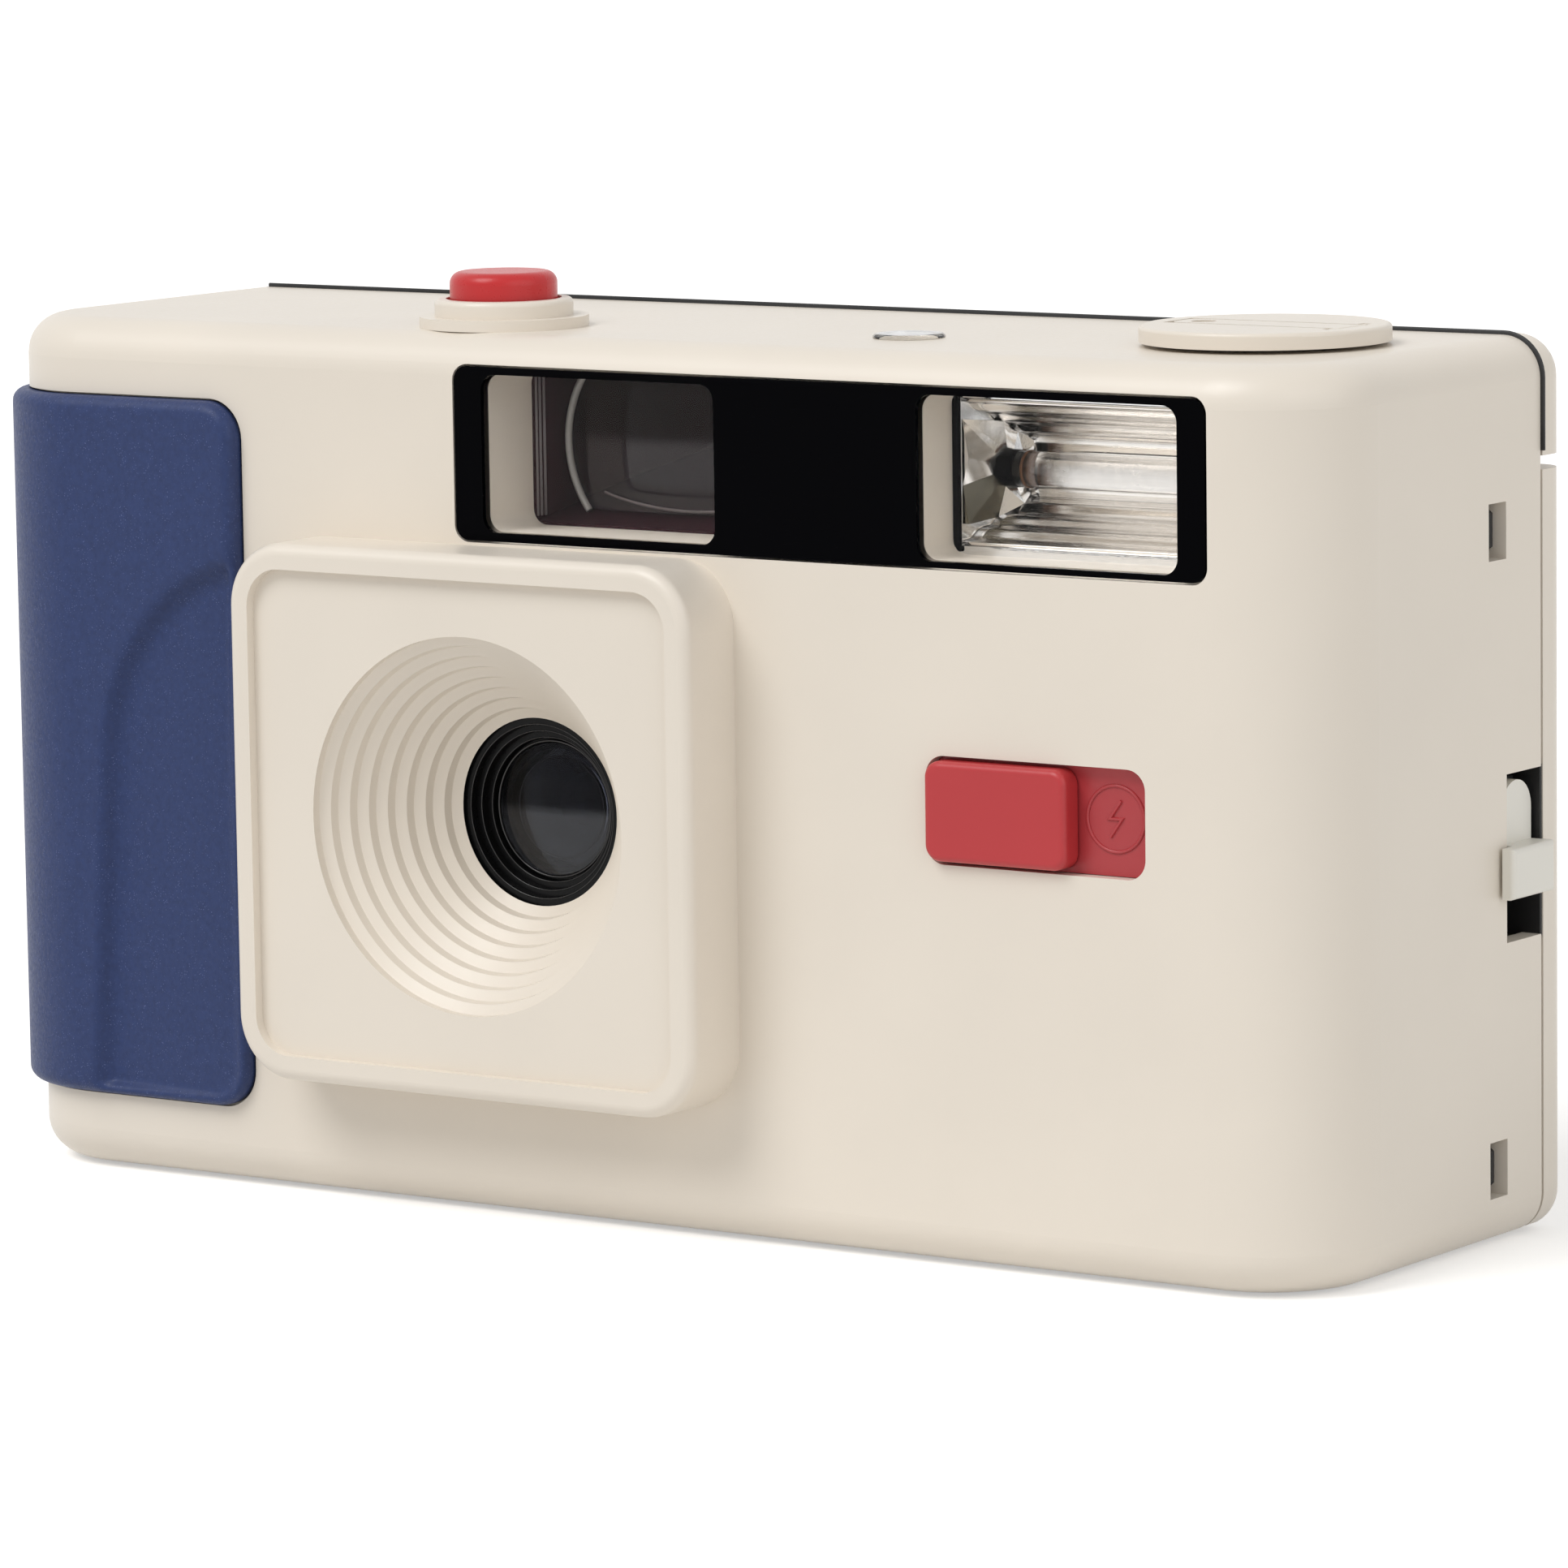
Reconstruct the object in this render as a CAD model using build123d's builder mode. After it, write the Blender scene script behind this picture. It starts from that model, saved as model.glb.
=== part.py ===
from build123d import *
import os
from math import atan2, degrees, hypot, pi, sqrt

# A compact 35 mm film camera with a fixed lens and a built-in flash.
# Millimetres. X runs to the right seen from the front, Y runs to the back, Z runs up.
# The origin is on the ground, at mid width and mid depth.
# A box seen from the front is (left, right, bottom, top); a place on the plan is (X, Y).

# Clearances
RUN = 0.3  # a moving piece and its neighbour
FIT = 0.15  # round a piece that is let into another
PIN_FIT = 0.05  # radial, round a pin, a shaft or a pressed glass

# Body
WIDTH = 118.0
HEIGHT = 65.2
FRONT = -18.0  # depth of the front face
SEAM = 14.0  # depth where the front shell ends
REAR = 18.0  # depth of the back face
WALL = 1.6
CORNER = 9.0  # plan radius of the two front corners
EDGE = 3.0  # rounding of the top and bottom edges, and of the corners seen from the back
REAR_EDGE = 2.2
SPLIT = 56.6  # height where the fixed rear cover begins
POST_R = 2.0
BOSS_L = 6.5  # the low bosses that stand on the floor behind the battery bay
BOSS_UP = 2.4  # their screws over the film gate's lower edge
BOSS_GAP = 1.0  # from the chamber and from the rewind release
SCREW_R = 0.8
SCREW_L = 5.0
SCREW_HEAD_R = 1.6
SCREW_HEAD_T = 0.7
SCREW_SLIT = (2.2, 0.4, 0.4)  # length, width, depth

# Grip
GRIP_GAP = 3.1  # from the grip's edge to the lens hood
GRIP_BACK = 6.0
GRIP_BOTTOM = 6.0
GRIP_TOP = 59.5
GRIP_PROUD = 1.3
GRIP_SUNK = 0.6
GRIP_CORNER = 3.0
GROOVE_DEPTH = 0.8
GROOVE_HALF = 3.0
GROOVE_X = 10.6 - WIDTH / 2
GROOVE_TURN = 28.0  # height where the groove starts to bend
GROOVE_BEND = 20.0
GROOVE_ARC = 88.0

# Lens hood and lens
LENS_X = 49.2 - WIDTH / 2
LENS_Z = 29.7
HOOD_W = 41.6
HOOD_H = 40.2
HOOD_SHIFT = -0.3  # the block's middle lies a little left of the lens
HOOD_PROUD = 6.0
HOOD_CORNER = 4.8
HOOD_EDGE = 0.9
HOOD_RIM = 1.9
HOOD_RECESS = 0.8
CONE_R = 14.0
CONE_END_R = 6.9
CONE_END = -14.0  # depth where the funnel ends
CONE_STEPS = 8
SPIGOT_R = 11.5
BARREL_R = 7.6
BARREL_FRONT = CONE_END + RUN
BARREL_REAR = -7.2
BARREL_STEPS = 4
BARREL_LEDGE = 0.55
BARREL_DROP = 0.6
FLANGE = 24.0
FLANGE_T = 1.0
LENS_R = 4.3
LENS_FRONT = -10.7  # rim of the front lens
LENS_T = 1.0  # at the rim
LENS_BULGE = (0.7, 0.3)  # front and back face of the front lens
LENS_GAP = 0.4  # between the rims of the two lenses
REAR_LENS_T = 0.75
REAR_LENS_BULGE = (-0.25, -0.3)
LENS_RING = (0.7, 0.5)  # width and thickness
STOP_R = 1.8  # the fixed aperture

# Shutter and light box
BLADE_T = 0.4
BLADE_ROOM = 0.9  # slot between the lens flange and the light box
BLADE_PIVOT = (LENS_X + 6.0, LENS_Z + 7.6)
BLADE_PIN_R = 0.7
BLADE_HUB_R = 1.6
BLADE_LAP = 1.6  # how far the blade reaches past the aperture
BLADE_ARM_W = 2.4
BOX_WALL = 1.0
BOX_MOUTH = (16.0, 13.0)
BOX_HOLE_R = 4.2
FRAME_W = 36.0
FRAME_H = 24.0
FILM_W = 35.0
GATE_FRONT = 9.4
GATE_REAR = 11.4
FILM_PLANE = 12.2
GATE = (LENS_X - FRAME_W / 2 - 10.7, WIDTH / 2 - 25.0, 6.0, 53.4)
INNER_RAIL = (1.2, 1.0)  # distance from the frame opening, and width
OUTER_RAIL = (0.9, 1.2, 0.6)  # distance from the film's edge, width, and height over the film
RAIL_ENDS = (12.0, 9.0)  # from the gate's left and right edge

# Black bar, viewfinder and flash
BAR = (LENS_X - 4.3, WIDTH / 2 - 8.4, 50.0, 63.1)
BAR_CORNER = 1.25
BAR_FLOOR = -16.7
MASK_T = 0.35
WINDOW_CORNER = 1.2
TUNNEL_WALL = 1.0
FINDER_WINDOW = (LENS_X - 1.7, LENS_X + 19.0, 50.8, 62.4)
FINDER_TUNNEL = 6.7
FINDER_LENS = (LENS_X + 11.8, 56.7)
FINDER_LENS_Y = -8.5
FINDER_LENS_R = 6.9
FINDER_LENS_T = (1.0, 0.7)  # its square foot, and the round face in front of it
FINDER_LENS_FOOT = 7.4  # half its width
TUBE_WALL = 0.8
TUBE_INSET = 0.2
EYE_X = LENS_X + 8.6
EYE_Z = 60.2
EYE_W = 11.0
EYE_H = 5.0
EYE_CORNER = 0.8
EYE_FRAME = 1.2
FLASH_WINDOW = (WIDTH / 2 - 32.4, WIDTH / 2 - 10.8, 50.6, 62.4)
FLASH_TUNNEL = 5.3
REFLECTOR_BACK = -6.4
REFLECTOR_T = 0.6
REFLECTOR_DRAFT = 3.0
REFLECTOR_END_H = 4.4
TUBE_R = 1.3
TUBE_END_GAP = 0.4
BOARD = (WIDTH / 2 - 46.5, WIDTH / 2 - 29.5, 17.0, 45.5)
BOARD_Y = -11.0
BOARD_T = 1.2
BOARD_POSTS = ((BOARD[0] + 2.5, BOARD[3] - 3.0), (BOARD[1] - 2.5, BOARD[2] + 3.0))
CAPACITOR_R = 4.4
CAPACITOR_H = 24.0
CAPACITOR_Z = 19.0

# Shutter button
BUTTON = (LENS_X - 5.7, -9.5)
BUTTON_R = 4.0
BUTTON_TOP = 69.3
BUTTON_BOTTOM = 66.4
STEM_R = 1.5
STEM_BOTTOM = 58.5
COLLAR_R = 5.15
COLLAR_TOP = 67.3
COLLAR_STEP = 0.3  # the collar's foot in the roof is this much smaller
COLLAR_FLOOR_T = 0.8
COLLAR_BASE_R = 6.3
COLLAR_BASE_T = 0.8

# Flash switch
SLOT = (WIDTH / 2 - 31.9, WIDTH / 2 - 13.6, 29.0, 36.8)
SLOT_CORNER = 1.5
SWITCH_FLOOR = -17.0
SWITCH_FLANGE_T = 0.8
KNOB_W = 11.9
KNOB_PROUD = 0.9
KNOB_EDGE = 0.5
KNOB_STEM = (4.0, 1.6)
KNOB_STEM_X = 0.8  # from the knob's left edge, so that the knob hides its slit
SWITCH_FLANGE = 1.5

# Film transport
REWIND = (WIDTH / 2 - 14.2, -0.4)
REWIND_R = 9.0
REWIND_T = 1.2
REWIND_SHAFT_R = 2.0
FORK_BOTTOM = 49.6
FORK_SLOT = (1.2, 3.0)
CRANK_L = 14.0
CRANK_W = 3.4
CRANK_T = 0.6
CRANK_PIN_L = 5.2  # the trunnions stand out of the crank's sides
CRANK_SUNK = 0.25  # gap under the folded crank
CRANK_EYE = (1.9, 0.9)  # distance from the tip, and radius
CARTRIDGE_R = 12.7
CARTRIDGE_H = 46.0
CHAMBER_FLOOR = 6.0
HUB_HOLE_R = 5.0
SPOOL = (13.0 - WIDTH / 2, 2.0)
SPOOL_R = 5.5
SPOOL_FLANGE_R = 9.2
SPOOL_ROOM_R = 10.2
SPOOL_FLANGE_T = 1.0
SPOOL_SLOTS = 3
SPOOL_SLOT = (3.0, 1.2)
SHAFT_R = 1.8
PLATE_Z = 54.2
PLATE_T = 1.4
WHEEL = (SPOOL[0] + 2.0, 9.6)
WHEEL_R = 9.8
WHEEL_Z = 57.6
WHEEL_T = 4.2
WHEEL_GRIPS = 36
WHEEL_GRIP_R = 0.45
WHEEL_RIM = 2.5
WHEEL_PIN_R = 1.5
GEAR_T = 1.2
SPROCKET_X = LENS_X - FRAME_W / 2 - 4.2
SPROCKET_TEETH = 6
SPROCKET_T = 2.0
TOOTH = (1.6, 1.0, 1.2)  # width, reach, thickness
TOOTH_SLOPE = 70
SPROCKET_PIN_R = 1.2
PERFORATION = 4.75
COUNTER_WINDOW = (LENS_X + 28.0, -6.0)
COUNTER_WINDOW_R = 2.65
COUNTER_HOLE_R = 2.2
COUNTER_PROUD = 0.35
COUNTER_R = 7.2
COUNTER_T = 0.8
COUNTER_Z = 62.0
COUNTER_PIN_R = 0.9
RELEASE_R = 2.4
RELEASE_FLANGE = (1.0, 0.8)
RELEASE_STEM = (1.2, 2.7)
RELEASE_SUNK = 0.4
RELEASE_GAP = 0.4  # to the take-up chamber

# Back door and latch
HINGE_R = 1.85
HINGE_PIN_R = 0.6
EAR_TOP = 3.2
DOOR_TOP = 55.6
DOOR_BOTTOM = 0.4
DOOR_WALL = 1.6
DOOR_POCKET = (4.0, 1.5, 2.0)  # from the hinge, above the floor, and corner
DOOR_RIB_T = 0.9
DOOR_RIB_GAP = 2.0  # from the film gate's ends
THUMB_GROOVE = (12.0, 1.2, 0.4)  # height, width and depth of one groove of the thumb rest
THUMB_GROOVES = 5
THUMB_PITCH = 2.6
THUMB_DROP = 10.0  # from the door's top edge to the middle of the thumb rest
PRESSURE_GAP = 0.35  # room for the film
PRESSURE_T = 0.8
PRESSURE_CORNER = 1.5
SPRING_T = 0.35
SPRING_W = 8.0
SPRING_SPAN = 30.0
LATCH_SLOT = (9.0, 22.0, 34.2)  # front edge, bottom, top
LATCH_PLATE = (9.3, 13.6, 25.0, 33.5)  # front, back, bottom, top
LATCH_KNOB = (7.8, 13.8, 25.3, 29.0)
LATCH_PROUD = 1.3
LATCH_SUNK = 0.6
LATCH_BAR_X = (WIDTH / 2 - 2.9, WIDTH / 2 - 1.9)
LATCH_BAR = (6.8, 8.7, 5.6, 53.4)
HOOK_H = 1.8
HOOK_SLOTS = ((49.7, 53.8), (3.7, 7.8))
HOOK_SLOT_Y = (6.5, 9.0)
TONGUE_X = (WIDTH / 2 - 3.7, WIDTH / 2 - 2.1)
TONGUE_Y = 10.6
TONGUE_LIFT = 1.5

# Battery bay
BATTERY_L = 44.5
BATTERY_R = 5.25
BATTERY_PLAY = 0.4
BATTERY = (1.0, -6.0)
BATTERY_Z = 8.2
CONTACT = (7.0, 8.0, 0.3)  # width, height, thickness
TRAY_T = 1.0
HATCH_T = 1.4
HATCH_PIN_R = 0.35
HATCH_PIN_L = 1.2
HATCH_PULL = (11.0, 1.0, 0.5)  # length, width and depth of the finger slot

# Values that follow from the sizes above
INNER_W = WIDTH / 2 - WALL
GRIP_EDGE = LENS_X + HOOD_SHIFT - HOOD_W / 2 - GRIP_GAP
INNER_FRONT = FRONT + WALL
CEILING = HEIGHT - WALL
DOOR_FRONT = SEAM + RUN
HINGE = (-WIDTH / 2 + HINGE_R, DOOR_FRONT + HINGE_R)
SPROCKET_R = SPROCKET_TEETH * PERFORATION / (2 * pi)
SPROCKET = (SPROCKET_X, FILM_PLANE - SPROCKET_R)
RELEASE = (SPOOL[0] + SPOOL_ROOM_R + BOX_WALL + RELEASE_GAP + RELEASE_R + RELEASE_FLANGE[0], 3.0)
PERF_Z = LENS_Z + FILM_W / 2 - 3.4
CHAMBER_TOP = LENS_Z + CARTRIDGE_H / 2 + BOX_WALL
CHAMBER_LEFT = REWIND[0] - CARTRIDGE_R - BOX_WALL
KNOB_X = SLOT[0] + RUN
SWITCH_MID = (SLOT[2] + SLOT[3]) / 2
SWITCH_TRAVEL = SLOT[1] - SLOT[0] - KNOB_W - 2 * RUN
FLASH_Z = (FLASH_WINDOW[2] + FLASH_WINDOW[3]) / 2
TUBE_Y = REFLECTOR_BACK - REFLECTOR_T - TUBE_R - 0.6
CAPACITOR = ((BOARD[0] + BOARD[1]) / 2, BOARD_Y + BOARD_T + CAPACITOR_R + 0.1)
COUNTER = (COUNTER_WINDOW[0], COUNTER_WINDOW[1] + COUNTER_R - 1.4)
HATCH_HALF = (BATTERY_L / 2 + 1.35, BATTERY_R + BATTERY_PLAY)
HATCH_BOX = (BATTERY[0] - HATCH_HALF[0], BATTERY[0] + HATCH_HALF[0],
             BATTERY[1] - HATCH_HALF[1], BATTERY[1] + HATCH_HALF[1])
HATCH_AXIS = (HATCH_BOX[3] - HATCH_T / 2 - RUN, HATCH_T / 2)
GATE_POSTS = ((REWIND[0] - 24.8, 48.4), (SPROCKET_X + 10.0, 50.5))
GATE_BOSSES = ((RELEASE[0] + RELEASE_R + RELEASE_FLANGE[0] + BOSS_GAP + POST_R, GATE[2] + BOSS_UP),
               (CHAMBER_LEFT - BOSS_GAP - POST_R, GATE[2] + BOSS_UP))
GATE_SCREWS = GATE_POSTS + GATE_BOSSES
GEAR_R = (hypot(WHEEL[0] - SPOOL[0], WHEEL[1] - SPOOL[1]) - RUN) / 2
GEAR_Z = PLATE_Z + PLATE_T + RUN
CRANK_Z = HEIGHT + RUN + REWIND_T - CRANK_T
CRANK_PIN_R = CRANK_T / 2
CRANK_AXIS = (REWIND[0] + CRANK_L / 2 - CRANK_PIN_R, CRANK_Z + CRANK_PIN_R)
BLADE_Y = BARREL_REAR + (BLADE_ROOM - BLADE_T) / 2
BOX_Y = BARREL_REAR + BLADE_ROOM
BOX_FRONT = (LENS_X - BOX_MOUTH[0] / 2, LENS_X + BOX_MOUTH[0] / 2,
             LENS_Z - BOX_MOUTH[1] / 2, LENS_Z + BOX_MOUTH[1] / 2)
BOX_REAR = (LENS_X - FRAME_W / 2, LENS_X + FRAME_W / 2, LENS_Z - FRAME_H / 2, LENS_Z + FRAME_H / 2)
EYE = (EYE_X - EYE_W / 2, EYE_X + EYE_W / 2, EYE_Z - EYE_H / 2, EYE_Z + EYE_H / 2)
PLATE = (SPROCKET_X + 3.2, LENS_X + FRAME_W / 2 + 3.0, LENS_Z - FILM_W / 2 + 0.6,
         LENS_Z + FILM_W / 2 - 0.6)


def facing(y):
    """Plane at depth y seen from the front: its own x is X and its own y is Z."""
    return Plane.XZ.offset(-y)


def slab(x0, x1, z0, z1, y0, y1, corner=0.0, mode=Mode.ADD):
    """Block with an outline seen from the front, from depth y0 to depth y1."""
    with BuildSketch(facing(y1)) as outline:
        with Locations(((x0 + x1) / 2, (z0 + z1) / 2)):
            if corner > 0:
                RectangleRounded(x1 - x0, z1 - z0, corner)
            else:
                Rectangle(x1 - x0, z1 - z0)
    extrude(outline.sketch, amount=y1 - y0, mode=mode)


def deck(x0, x1, y0, y1, z0, z1, corner=0.0, mode=Mode.ADD):
    """Block with an outline seen from above, from height z0 to height z1."""
    with BuildSketch(Plane.XY.offset(z0)) as outline:
        with Locations(((x0 + x1) / 2, (y0 + y1) / 2)):
            if corner > 0:
                RectangleRounded(x1 - x0, y1 - y0, corner)
            else:
                Rectangle(x1 - x0, y1 - y0)
    extrude(outline.sketch, amount=z1 - z0, mode=mode)


def disc(centre, radius, z0, z1, mode=Mode.ADD):
    """Upright cylinder about a point of the plan."""
    with BuildSketch(Plane.XY.offset(z0)) as outline:
        with Locations(centre):
            Circle(radius)
    extrude(outline.sketch, amount=z1 - z0, mode=mode)


def rod(centre, radius, y0, y1, mode=Mode.ADD):
    """Cylinder along Y about a point of the front view."""
    with BuildSketch(facing(y1)) as outline:
        with Locations(centre):
            Circle(radius)
    extrude(outline.sketch, amount=y1 - y0, mode=mode)


def plan_outline(grow, back, z):
    """The body's outline from above, grown by an amount, its two front corners round."""
    with BuildSketch(Plane.XY.offset(z)) as outline:
        with Locations((0, (FRONT - grow + back) / 2)):
            Rectangle(WIDTH + 2 * grow, back - FRONT + grow)
        fillet(outline.vertices().group_by(Axis.Y)[0], CORNER + grow)
    return outline.sketch


def frustum(front_box, y0, rear_box, y1, grow=0.0, mode=Mode.ADD):
    """Straight-sided funnel between two upright rectangles, each (x0, x1, z0, z1)."""
    sketches = []
    for box, y in ((front_box, y0), (rear_box, y1)):
        with BuildSketch(facing(y)) as outline:
            with Locations(((box[0] + box[1]) / 2, (box[2] + box[3]) / 2)):
                Rectangle(box[1] - box[0] + 2 * grow, box[3] - box[2] + 2 * grow)
        sketches.append(outline.sketch)
    loft(sketches, mode=mode)


def grown(box, grow):
    """A rectangle (x0, x1, z0, z1) made larger by an amount on each side."""
    return (box[0] - grow, box[1] + grow, box[2] - grow, box[3] + grow)


def finish(builder, name):
    """Names a piece and writes its file."""
    builder.part.label = name
    export_step(builder.part, f"parts/{name}.step")


os.makedirs("parts", exist_ok=True)
LENS_AXIS = Axis((LENS_X, 0, LENS_Z), (0, 1, 0))
LENS_SECTION = Plane((LENS_X, 0, LENS_Z))

# Front shell: moulded face, sides, top and floor, with the window tunnels and screw posts
with BuildPart() as front_shell:
    extrude(plan_outline(0, SEAM, 0), amount=HEIGHT)
    level = front_shell.faces().filter_by(Axis.Z).edges()
    fillet([edge for edge in level if edge.center().Y < SEAM - 0.1], EDGE)
    extrude(plan_outline(-WALL, SEAM + 1, WALL), amount=HEIGHT - 2 * WALL, mode=Mode.SUBTRACT)
    slab(*grown(BAR, 0.4), INNER_FRONT - 0.01, BAR_FLOOR + TUNNEL_WALL)
    slab(*grown(FINDER_WINDOW, TUNNEL_WALL), INNER_FRONT - 0.1, FRONT + FINDER_TUNNEL)
    slab(*grown(FLASH_WINDOW, TUNNEL_WALL), INNER_FRONT - 0.1, FRONT + FLASH_TUNNEL)
    slab(*BAR, FRONT - 1, BAR_FLOOR, BAR_CORNER, Mode.SUBTRACT)
    slab(*FINDER_WINDOW, FRONT, FRONT + FINDER_TUNNEL + 1, WINDOW_CORNER, Mode.SUBTRACT)
    slab(*FLASH_WINDOW, FRONT, FRONT + FLASH_TUNNEL + 1, WINDOW_CORNER, Mode.SUBTRACT)
    # Seat of the lens hood's spigot
    rod((LENS_X, LENS_Z), SPIGOT_R + FIT, FRONT - 1, INNER_FRONT + 1, Mode.SUBTRACT)
    # Seat of the grip, let into the left front corner
    with BuildPart(mode=Mode.PRIVATE) as grip_seat:
        slab(-WIDTH, GRIP_EDGE + FIT, GRIP_BOTTOM - FIT, GRIP_TOP + FIT, FRONT - 5, GRIP_BACK + FIT,
             GRIP_CORNER)
        extrude(plan_outline(-GRIP_SUNK, SEAM + 1, 0), amount=HEIGHT, mode=Mode.SUBTRACT)
    add(grip_seat.part, mode=Mode.SUBTRACT)
    # Flash switch slot, latch slot and the two hook slots
    slab(*SLOT, FRONT - 1, INNER_FRONT + 1, SLOT_CORNER, Mode.SUBTRACT)
    deck(INNER_W - 1, WIDTH / 2 + 1, LATCH_SLOT[0], SEAM + 1, LATCH_SLOT[1], LATCH_SLOT[2],
         mode=Mode.SUBTRACT)
    for low, high in HOOK_SLOTS:
        deck(INNER_W - 1, WIDTH / 2 + 1, *HOOK_SLOT_Y, low, high, mode=Mode.SUBTRACT)
    # Holes in the top: shutter button, frame counter and rewind shaft
    disc(BUTTON, COLLAR_R - COLLAR_STEP + FIT, CEILING - 1, HEIGHT + 1, Mode.SUBTRACT)
    disc(COUNTER_WINDOW, COUNTER_HOLE_R + PIN_FIT, CEILING - 1, HEIGHT + 1, Mode.SUBTRACT)
    disc(REWIND, REWIND_SHAFT_R + PIN_FIT, CEILING - 1, HEIGHT + 1, Mode.SUBTRACT)
    # Posts and bosses for the film gate, posts for the flash board, and the frame counter's pin
    for place in GATE_POSTS:
        rod(place, POST_R, INNER_FRONT - 0.1, GATE_FRONT)
    for x, z in GATE_BOSSES:
        rod((x, z), POST_R, GATE_FRONT - BOSS_L, GATE_FRONT)
        deck(x - POST_R, x + POST_R, GATE_FRONT - BOSS_L, GATE_FRONT, WALL - 0.1, z)
    for place in GATE_SCREWS:
        rod(place, SCREW_R, GATE_FRONT - SCREW_L - RUN, GATE_FRONT, Mode.SUBTRACT)
    for place in BOARD_POSTS:
        rod(place, POST_R, INNER_FRONT - 0.1, BOARD_Y)
        rod(place, SCREW_R, BOARD_Y - SCREW_L, BOARD_Y, Mode.SUBTRACT)
    disc(COUNTER, COUNTER_PIN_R, COUNTER_Z - 1.5, CEILING + 0.1)
    # Openings in the floor: battery hatch and rewind release
    deck(*HATCH_BOX, -1, WALL + 1, mode=Mode.SUBTRACT)
    for end, way in ((HATCH_BOX[0], -1), (HATCH_BOX[1], 1)):
        with BuildSketch(Plane.YZ.offset(end)) as hole:
            with Locations((HATCH_AXIS[0], HATCH_AXIS[1])):
                Circle(HATCH_PIN_R + PIN_FIT)
        extrude(hole.sketch, amount=way * (HATCH_PIN_L + RUN), mode=Mode.SUBTRACT)
    disc(RELEASE, RELEASE_R + RUN, -1, WALL + 1, Mode.SUBTRACT)
    # Lower hinge ear behind the left corner
    with BuildPart(mode=Mode.PRIVATE) as ear:
        disc(HINGE, HINGE_R, DOOR_BOTTOM, EAR_TOP)
        deck(-WIDTH / 2, HINGE[0] + HINGE_R, SEAM - WALL, HINGE[1], DOOR_BOTTOM, EAR_TOP)
        disc(HINGE, HINGE_PIN_R + PIN_FIT, DOOR_BOTTOM + 0.6, HEIGHT, Mode.SUBTRACT)
        slab(-WIDTH / 2, WIDTH / 2, 0, HEIGHT, SEAM - 5, REAR + 1, EDGE, Mode.INTERSECT)
    add(ear.part)
finish(front_shell, "front_shell")

# Grip: a soft shell round the left front corner, with a curved groove for the finger tips
with BuildPart() as grip:
    extrude(plan_outline(GRIP_PROUD, GRIP_BACK, 0), amount=HEIGHT)
    slab(-WIDTH, GRIP_EDGE, GRIP_BOTTOM, GRIP_TOP, FRONT - 5, REAR, GRIP_CORNER, Mode.INTERSECT)
    extrude(plan_outline(-GRIP_SUNK + FIT, SEAM, 0), amount=HEIGHT, mode=Mode.SUBTRACT)
    groove_r = (GROOVE_HALF**2 + GROOVE_DEPTH**2) / (2 * GROOVE_DEPTH)
    groove_face = facing(FRONT - GRIP_PROUD + GROOVE_DEPTH - groove_r)
    with BuildLine(groove_face) as groove_path:
        rise = Line((GROOVE_X, GRIP_BOTTOM - 8), (GROOVE_X, GROOVE_TURN))
        JernArc(rise @ 1, rise % 1, GROOVE_BEND, -GROOVE_ARC)
    with BuildSketch(Plane(groove_path.line @ 0, z_dir=groove_path.line % 0)):
        Circle(groove_r)
    sweep(path=groove_path.line, mode=Mode.SUBTRACT)
finish(grip, "grip")

# Lens hood: square block with a raised rim and a stepped funnel down to the lens
with BuildPart() as lens_hood:
    hood_x = LENS_X + HOOD_SHIFT
    hood_front = FRONT - HOOD_PROUD
    slab(hood_x - HOOD_W / 2, hood_x + HOOD_W / 2, LENS_Z - HOOD_H / 2, LENS_Z + HOOD_H / 2,
         hood_front, FRONT, HOOD_CORNER)
    fillet(lens_hood.faces().sort_by(Axis.Y)[0].edges(), HOOD_EDGE)
    inset = HOOD_RIM
    slab(hood_x - HOOD_W / 2 + inset, hood_x + HOOD_W / 2 - inset, LENS_Z - HOOD_H / 2 + inset,
         LENS_Z + HOOD_H / 2 - inset, hood_front - 1, hood_front + HOOD_RECESS, HOOD_CORNER - inset,
         Mode.SUBTRACT)
    rod((LENS_X, LENS_Z), SPIGOT_R, FRONT, CONE_END)
    # Funnel of equal steps, each a flat ledge and a short sloping riser
    face_y = hood_front + HOOD_RECESS
    ledge = (CONE_R - CONE_END_R) / CONE_STEPS
    drop = (CONE_END - face_y) / CONE_STEPS
    with BuildSketch(LENS_SECTION) as funnel:
        with BuildLine():
            corners = [(0, face_y - 1), (CONE_R, face_y - 1)]
            for step in range(CONE_STEPS):
                corners.append((CONE_R - step * ledge, face_y + (step + 0.62) * drop))
                corners.append((CONE_R - (step + 0.86) * ledge, face_y + (step + 1) * drop))
            corners += [(CONE_END_R, CONE_END + 1), (0, CONE_END + 1)]
            Polyline(*corners, close=True)
        make_face()
    revolve(funnel.sketch, axis=LENS_AXIS, mode=Mode.SUBTRACT)
finish(lens_hood, "lens_hood")

# Black bar: a thin mask with two windows over one clear pane
with BuildPart() as window_mask:
    slab(*grown(BAR, -FIT), FRONT, FRONT + MASK_T, BAR_CORNER - FIT)
    for window in (FINDER_WINDOW, FLASH_WINDOW):
        slab(*window, FRONT - 1, BAR_FLOOR, WINDOW_CORNER, Mode.SUBTRACT)
finish(window_mask, "window_mask")

with BuildPart() as window_pane:
    slab(*grown(BAR, -FIT), FRONT + MASK_T, BAR_FLOOR, BAR_CORNER - FIT)
finish(window_pane, "window_pane")

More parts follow.
